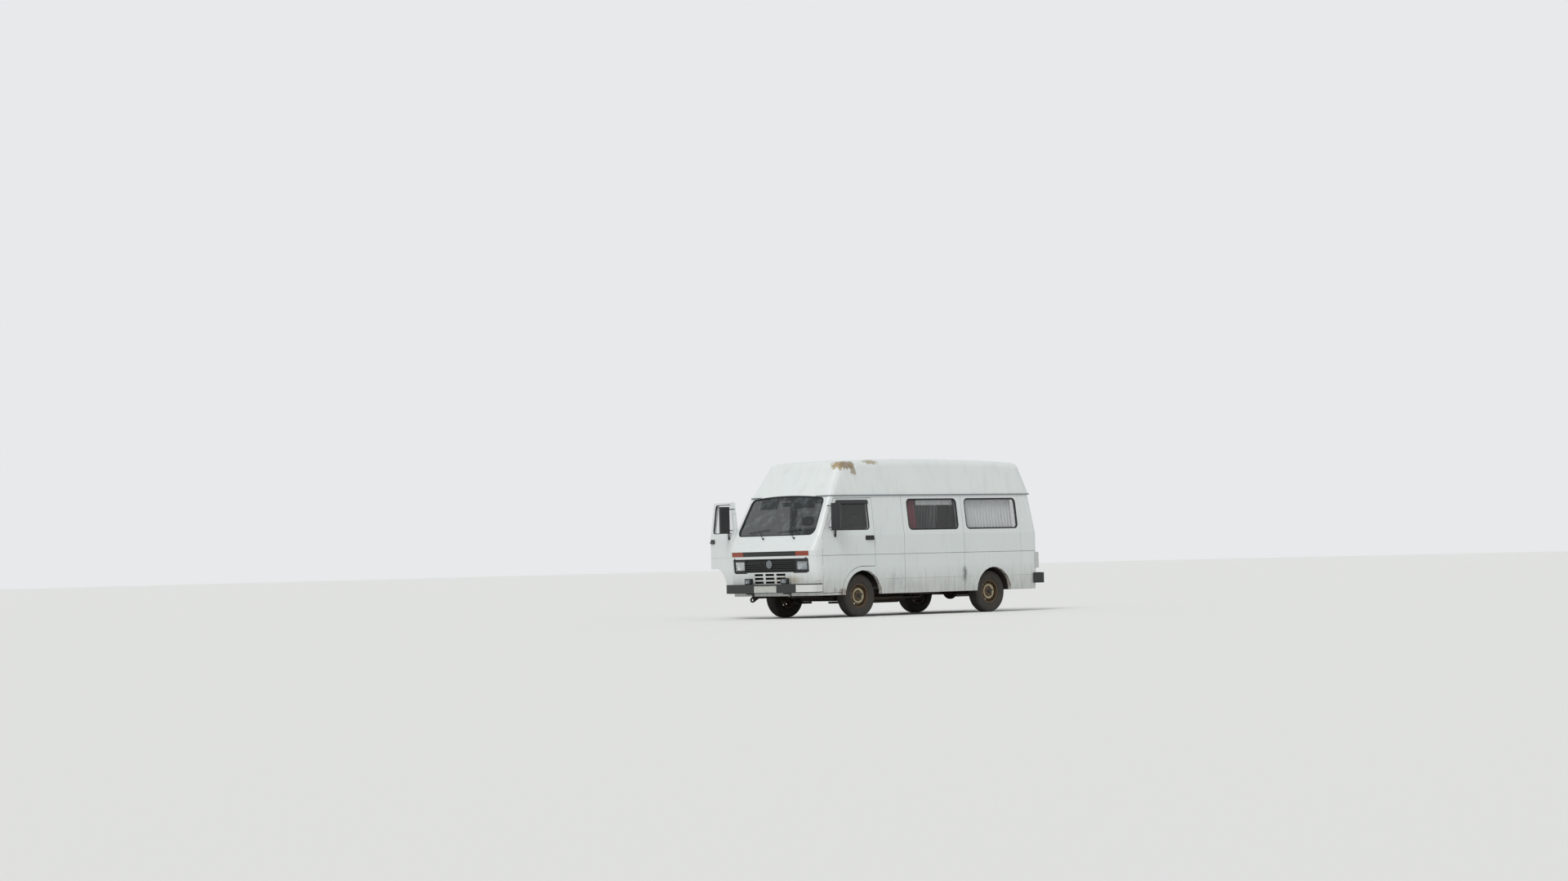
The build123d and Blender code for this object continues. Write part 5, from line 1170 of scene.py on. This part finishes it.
def swollen(low, high, corner, voxel, cap):
    """A padded block between two corners, swollen by a cloth simulation."""
    start = block(Vector(low) + pad_room, Vector(high) - pad_room, corner, 5)
    holder = show("swelling", start)
    remesh = holder.modifiers.new("even_faces", "REMESH")
    remesh.mode = "VOXEL"
    remesh.voxel_size = voxel
    even = result_of(holder)
    holder.modifiers.clear()
    holder.data = even
    before = [v.co.copy() for v in even.vertices]
    cloth = holder.modifiers.new("cover", "CLOTH").settings
    cloth.use_pressure = True
    cloth.uniform_pressure_force = pad_pressure
    cloth.effector_weights.gravity = 0.0
    cloth.tension_stiffness = cloth.compression_stiffness = cover_stiffness
    for step in range(1, swelling_frames + 1):
        bpy.context.scene.frame_set(step)
    swelled = result_of(holder)
    bpy.data.objects.remove(holder)
    bpy.context.scene.frame_set(1)
    for vert, was in zip(swelled.vertices, before):
        shift = vert.co - was
        if shift.length > cap:
            vert.co = was + shift.normalized() * cap
        vert.co = Vector([min(max(c, lo + pad_gap), hi - pad_gap) for c, lo, hi in zip(vert.co, low, high)])
    return swelled


# Extruded vinyl cord: a dark line that draws the edge of each cushion.
seat_piping = finish("dark_seat_piping", "#2c2521", "#37302b", 0.70, grain=0.002, relief=0.0004)
seat_table = {  # pad: its box, corner radius, voxel and cap, then its piping
    "cushion": (((-0.225, 0.310, 0.880), (0.255, 0.790, 1.000), 0.045, 0.008, 0.014),
                ((0.015, 0.550), (0.225, 0.225), 0.055, lambda a, b: (a, b, 0.984))),
    "backrest": (((-0.350, 0.310, 0.880), (-0.240, 0.790, 1.440), 0.045, 0.008, 0.014),
                 ((0.550, 1.160), (0.225, 0.265), 0.055, lambda a, b: (-0.252, a, b))),
    "headrest": (((-0.348, 0.420, 1.455), (-0.242, 0.680, 1.625), 0.040, 0.006, 0.012),
                 ((0.550, 1.540), (0.115, 0.070), 0.040, lambda a, b: (-0.254, a, b))),
}
for name, (sizes, outline) in seat_table.items():
    pad = swollen(*sizes)
    for side, mesh in (("left", pad), ("right", moved(pad, mirror_side))):
        piece = put(f"seat_{name}_{side}", mesh, seat_cloth, "seat_cloth", stands_for=["cab_seats"])
    piping = bead_on([outline_path(*outline)], 0.0042, seat_piping)
    put(f"seat_{name}_piping", joined(piping, moved(piping, mirror_side)), seat_piping, "seat_cloth")
print("seat pads:", 2 * len(seat_table), "swollen")

# %% [markdown]
# Each cab door carries its mirror's glass and brace, a rubber seal along its inner edge, an
# armrest, a window winder, a lever, a pocket and a bright strip.
# Everything is laid out once on the left door and then moved to the right one, which is mirrored
# and stands open. Only the left window has a smoked deflector along its top.

# %% Door furniture
# Silvered float glass: it gives back the sky as a pale blue grey.
mirror_glass = finish("mirror_glass", "#c9ced2", "#b7bdc1", 0.04, patch=0.10, grain=0.01, relief=0.00005,
                      Metallic=1.0)
# Formed acrylic: a glossy dark band that hides what is behind it.
smoked_acrylic = finish("smoked_acrylic", "#17191a", "#1e2122", 0.12, patch=0.10, grain=0.01, relief=0.00005)
seal_set_in = body_half - 0.954
heel_reach = 0.485

edge_points = [(0.842, 0.420), (0.842, 1.285), (0.522, 1.846), (-0.250, 1.846), (-0.250, 0.822), (0.0, 0.822)]
edge_points += [(heel_reach * math.sin(math.radians(a)), hub_height + heel_reach * math.cos(math.radians(a)))
                for a in range(6, 80, 6)]
edge_points.append((0.480, 0.420))
edge_line = []
for (x0, z0), (x1, z1) in zip(edge_points, edge_points[1:] + edge_points[:1]):
    steps = max(1, round(math.hypot(x1 - x0, z1 - z0) / 0.10))
    for share in (k / steps for k in range(steps)):
        x, z = x0 + (x1 - x0) * share, z0 + (z1 - z0) * share
        edge_line.append((x, min(body_half, wall_y(z)) - seal_set_in, z))
winder_boss = moved(turned([(0.0, 0.0), (0.030, 0.0), (0.028, 0.010), (0.012, 0.020), (0.0, 0.020)], 32),
                    at(0.500, 0.949, 0.840) @ mirror_side)
door_pieces = {  # name: finish, meshes on the left door
    "door_seal": (seal_rubber, bead_on([edge_line], 0.006, seal_rubber)),
    "mirror_glass": (mirror_glass, block((0.6402, 1.047, 1.387), (0.6430, 1.193, 1.783), 0.001)),
    "mirror_brace": (black_plastic, rod((0.660, 1.080, 1.385), (0.598, 1.027, 1.364), 0.0085, 16), blocks(
        ((0.580, 1.0200, 1.290), (0.612, 1.0340, 1.376), 0.006, 3),
        ((0.580, 1.0088, 1.262), (0.612, 1.0330, 1.312), 0.006, 3))),
    "armrest": (door_vinyl, blocks(
        ((0.080, 0.896, 0.945), (0.440, 0.951, 0.990), 0.014, 4),
        ((0.120, 0.915, 0.905), (0.400, 0.951, 0.948), 0.012, 3))),
    "window_winder": (black_plastic, winder_boss, rod((0.500, 0.934, 0.840), (0.590, 0.928, 0.895), 0.0055),
                      rod((0.590, 0.932, 0.895), (0.590, 0.896, 0.895), 0.0110, 20)),
    "inner_lever": (black_plastic, blocks(
        ((0.500, 0.940, 1.100), (0.620, 0.951, 1.150), 0.004, 3),
        ((0.512, 0.928, 1.112), (0.600, 0.942, 1.138), 0.005, 3))),
    "door_pocket": (door_vinyl, blocks(
        ((0.560, 0.905, 0.490), (0.820, 0.910, 0.610), 0.002),
        ((0.560, 0.905, 0.490), (0.820, 0.951, 0.496), 0.002),
        ((0.560, 0.905, 0.490), (0.566, 0.951, 0.600), 0.002),
        ((0.814, 0.905, 0.490), (0.820, 0.951, 0.600), 0.002))),
    "trim_strip": (silvered, block((-0.180, 0.9455, 1.020), (0.800, 0.9495, 1.034), 0.0016)),
}
door_slots = {"mirror_glass": "lamp_glass", "trim_strip": "bare_steel"}
for name, (used, *meshes) in door_pieces.items():
    for side, place in door_places.items():
        put(f"{name}_{side}", moved(joined(*meshes), place), used, door_slots.get(name, "black_plastic"),
            f"door_{side}")
pillar_foot, pillar_lean, deflector_gap = 0.864, 0.5557, 0.060
deflector_rows = []
for z, bulge in ((1.782, 0.020), (1.796, 0.022), (1.832, 0.012), (1.846, 0.002)):
    front = pillar_foot - (z - belt_height) * pillar_lean - deflector_gap
    deflector_rows.append([(x, wall_y(z) + bulge, z) for x in (front, front - 0.02, 0.2, -0.160, -0.185)])
inner_rows = [[(x, y - 0.003, z) for x, y, z in row] for row in deflector_rows]
put("wind_deflector_left", shell(deflector_rows, inner_rows), smoked_acrylic, body="door_left")
print("door pieces:", 2 * len(door_pieces) + 1)

# %% [markdown]
# The dashboard gets what shows through the glass: an instrument hood with two dials, a heater
# panel with knobs, louvred vents and a glovebox lid. A rubber strip between toe board and
# dashboard keeps the light of the open door out of the grille.
# Pedals, the two levers, sun visors, the inner mirror and ribbed mats finish the cab.

# %% Cab interior
# Printed card under clear plastic: a flat black disc.
dial_face = finish("instrument_dial_face", "#101213", "#15181a", 0.35, grain=0.004, relief=0.00005)
# Printed paint: off-white ticks that read from outside as fine lines.
dial_mark = finish("white_dial_marks", "#e6e6dd", "#d7d7cd", 0.55, grain=0.002, relief=0.00005)
# Moulded rubber mat: a matt black dulled by dried mud.
mat_rubber = finish("black_floor_mat", "#1f1e1c", "#35322c", 0.85, patch=0.08, relief=0.0006)
dash_x = 0.660
to_rear = Matrix.Rotation(math.radians(-90.0), 4, "Z")

hood = blocks(((0.735, 0.355, 1.222), (0.905, 0.745, 1.236), 0.004, 3),
              ((0.735, 0.355, 1.222), (0.905, 0.367, 1.305), 0.005, 3),
              ((0.735, 0.733, 1.222), (0.905, 0.745, 1.305), 0.005, 3),
              ((0.722, 0.350, 1.295), (0.905, 0.750, 1.309), 0.006, 3),
              ((0.765, 0.360, 1.230), (0.900, 0.740, 1.300)))
put("instrument_hood", hood, dash_plastic, "dash_plastic")
bezel = moved(turned([(0.028, 0.0), (0.0315, 0.0), (0.0315, 0.006), (0.028, 0.006)], 40), mirror_side)
dial = moved(turned([(0.0, 0.0), (0.028, 0.0), (0.028, 0.002), (0.0, 0.002)], 40), mirror_side)
tick = block((-0.0006, -0.0028, 0.0215), (0.0006, -0.0020, 0.0265), 0.0)
needle = block((-0.0007, -0.0038, -0.004), (0.0007, -0.0030, 0.021), 0.0)
needle = moved(needle, Matrix.Rotation(math.radians(-125), 4, "Y"))
marks = joined(grown(tick, ring_tree, dial_mark, Count=24), needle)
dial_spots = [at(0.765, y, 1.266) @ to_rear for y in (0.460, 0.640)]
for name, mesh, used, record_slot in (("bezels", bezel, black_plastic, "black_plastic"),
                                      ("faces", dial, dial_face, "dash_plastic"),
                                      ("marks", marks, dial_mark, "white_paint")):
    put("dial_" + name, joined(*[moved(mesh, spot) for spot in dial_spots]), used, record_slot)

panels = blocks(((dash_x - 0.006, -0.140, 0.990), (dash_x + 0.002, 0.140, 1.155)),
                ((dash_x - 0.005, -0.800, 0.985), (dash_x + 0.002, -0.340, 1.150)),
                ((dash_x - 0.012, -0.610, 1.120), (dash_x - 0.004, -0.530, 1.135)))
knob = moved(turned([(0.0, 0.0), (0.016, 0.0), (0.014, 0.016), (0.0, 0.017)], 24), to_rear @ mirror_side)
knobs = [moved(knob, at(dash_x - 0.005, y, 1.120)) for y in (-0.090, 0.0, 0.090)]
slat = block((-0.006, -0.055, -0.0012), (0.002, 0.055, 0.0012), 0.0006, 1)
louvre = grown(slat, row_tree, dash_plastic, Count=6, Step=(0.0, 0.0, 0.011))
louvres = [moved(louvre, at(dash_x, y, 1.070)) for y in (-0.255, 0.225, -0.865, 0.865)]
put("dash_panels", joined(panels, *knobs, *louvres), black_plastic)
put("toe_board_seal", block((0.9740, -0.800, 0.8600), (0.9798, 0.800, 0.8797), 0.0015, 1), seal_rubber)

pedal_turn = at(0.800, 0, 0.575) @ Matrix.Rotation(math.radians(32), 4, "Y")
controls = []
for y, half in ((0.430, 0.030), (0.530, 0.030), (0.640, 0.024)):
    controls += [moved(block((-0.006, y - half, -0.036), (0.006, y + half, 0.036)), pedal_turn),
                 rod((0.806, y, 0.595), (0.880, y, 0.890), 0.007)]
knob = turned([(0.0, -0.024), (0.012, -0.020), (0.021, -0.006), (0.023, 0.006), (0.017, 0.020),
               (0.0, 0.025)], 24, "Z")
gaiter = turned([(0.0, 0.0), (0.062, 0.0), (0.060, 0.006), (0.044, 0.010), (0.046, 0.018), (0.032, 0.024),
                 (0.034, 0.034), (0.020, 0.042), (0.012, 0.060), (0.0, 0.060)], 28, "Z")
controls += [rod((0.330, 0.110, 0.958), (0.362, 0.118, 1.190), 0.0075),
             moved(knob, at(0.3645, 0.1186, 1.205)), moved(gaiter, at(0.332, 0.110, 0.9602)),
             rod((0.020, -0.150, 0.962), (0.250, -0.150, 1.040), 0.009),
             rod((0.150, -0.150, 1.006), (0.262, -0.150, 1.044), 0.014, 16)]
put("pedals_and_levers", joined(*controls), black_plastic)

flap = moved(block((-0.008, -0.200, -0.075), (0.008, 0.200, 0.075), 0.006, 3),
             at(0.645, 0.430, 1.795) @ Matrix.Rotation(math.radians(-27), 4, "Y"))
put("sun_visors", joined(flap, moved(flap, mirror_side)), roof_cloth, "dash_plastic")
put("inner_mirror", joined(block((0.640, -0.120, 1.765), (0.664, 0.120, 1.830), 0.010, 3),
                           rod((0.660, 0.0, 1.800), (0.672, 0.0, 1.860), 0.006)), black_plastic)
put("inner_mirror_glass", block((0.6382, -0.110, 1.773), (0.6405, 0.110, 1.822), 0.001, 1), mirror_glass,
    "lamp_glass")
mats = []
for y in (0.310, -0.860):
    rib = block((0.500, y + 0.020, 0.4550), (0.920, y + 0.026, 0.4590), 0.001, 1)
    mats += [block((0.480, y, 0.4503), (0.940, y + 0.550, 0.4560), 0.002, 1),
             grown(rib, row_tree, mat_rubber, Count=34, Step=(0.0, 0.0155, 0.0))]
put("floor_mats", joined(*mats), mat_rubber, "dash_plastic")
rib = block((-4.150, -0.940, 0.6195), (-4.146, 0.940, 0.6225), 0.001, 1)
put("rear_step_ribs", grown(rib, row_tree, black_plastic, Count=12, Step=(0.012, 0.0, 0.0)), black_plastic)
print("cab pieces done")

# %% [markdown]
# The last cell only imports json once more.

# %% Import json
import json
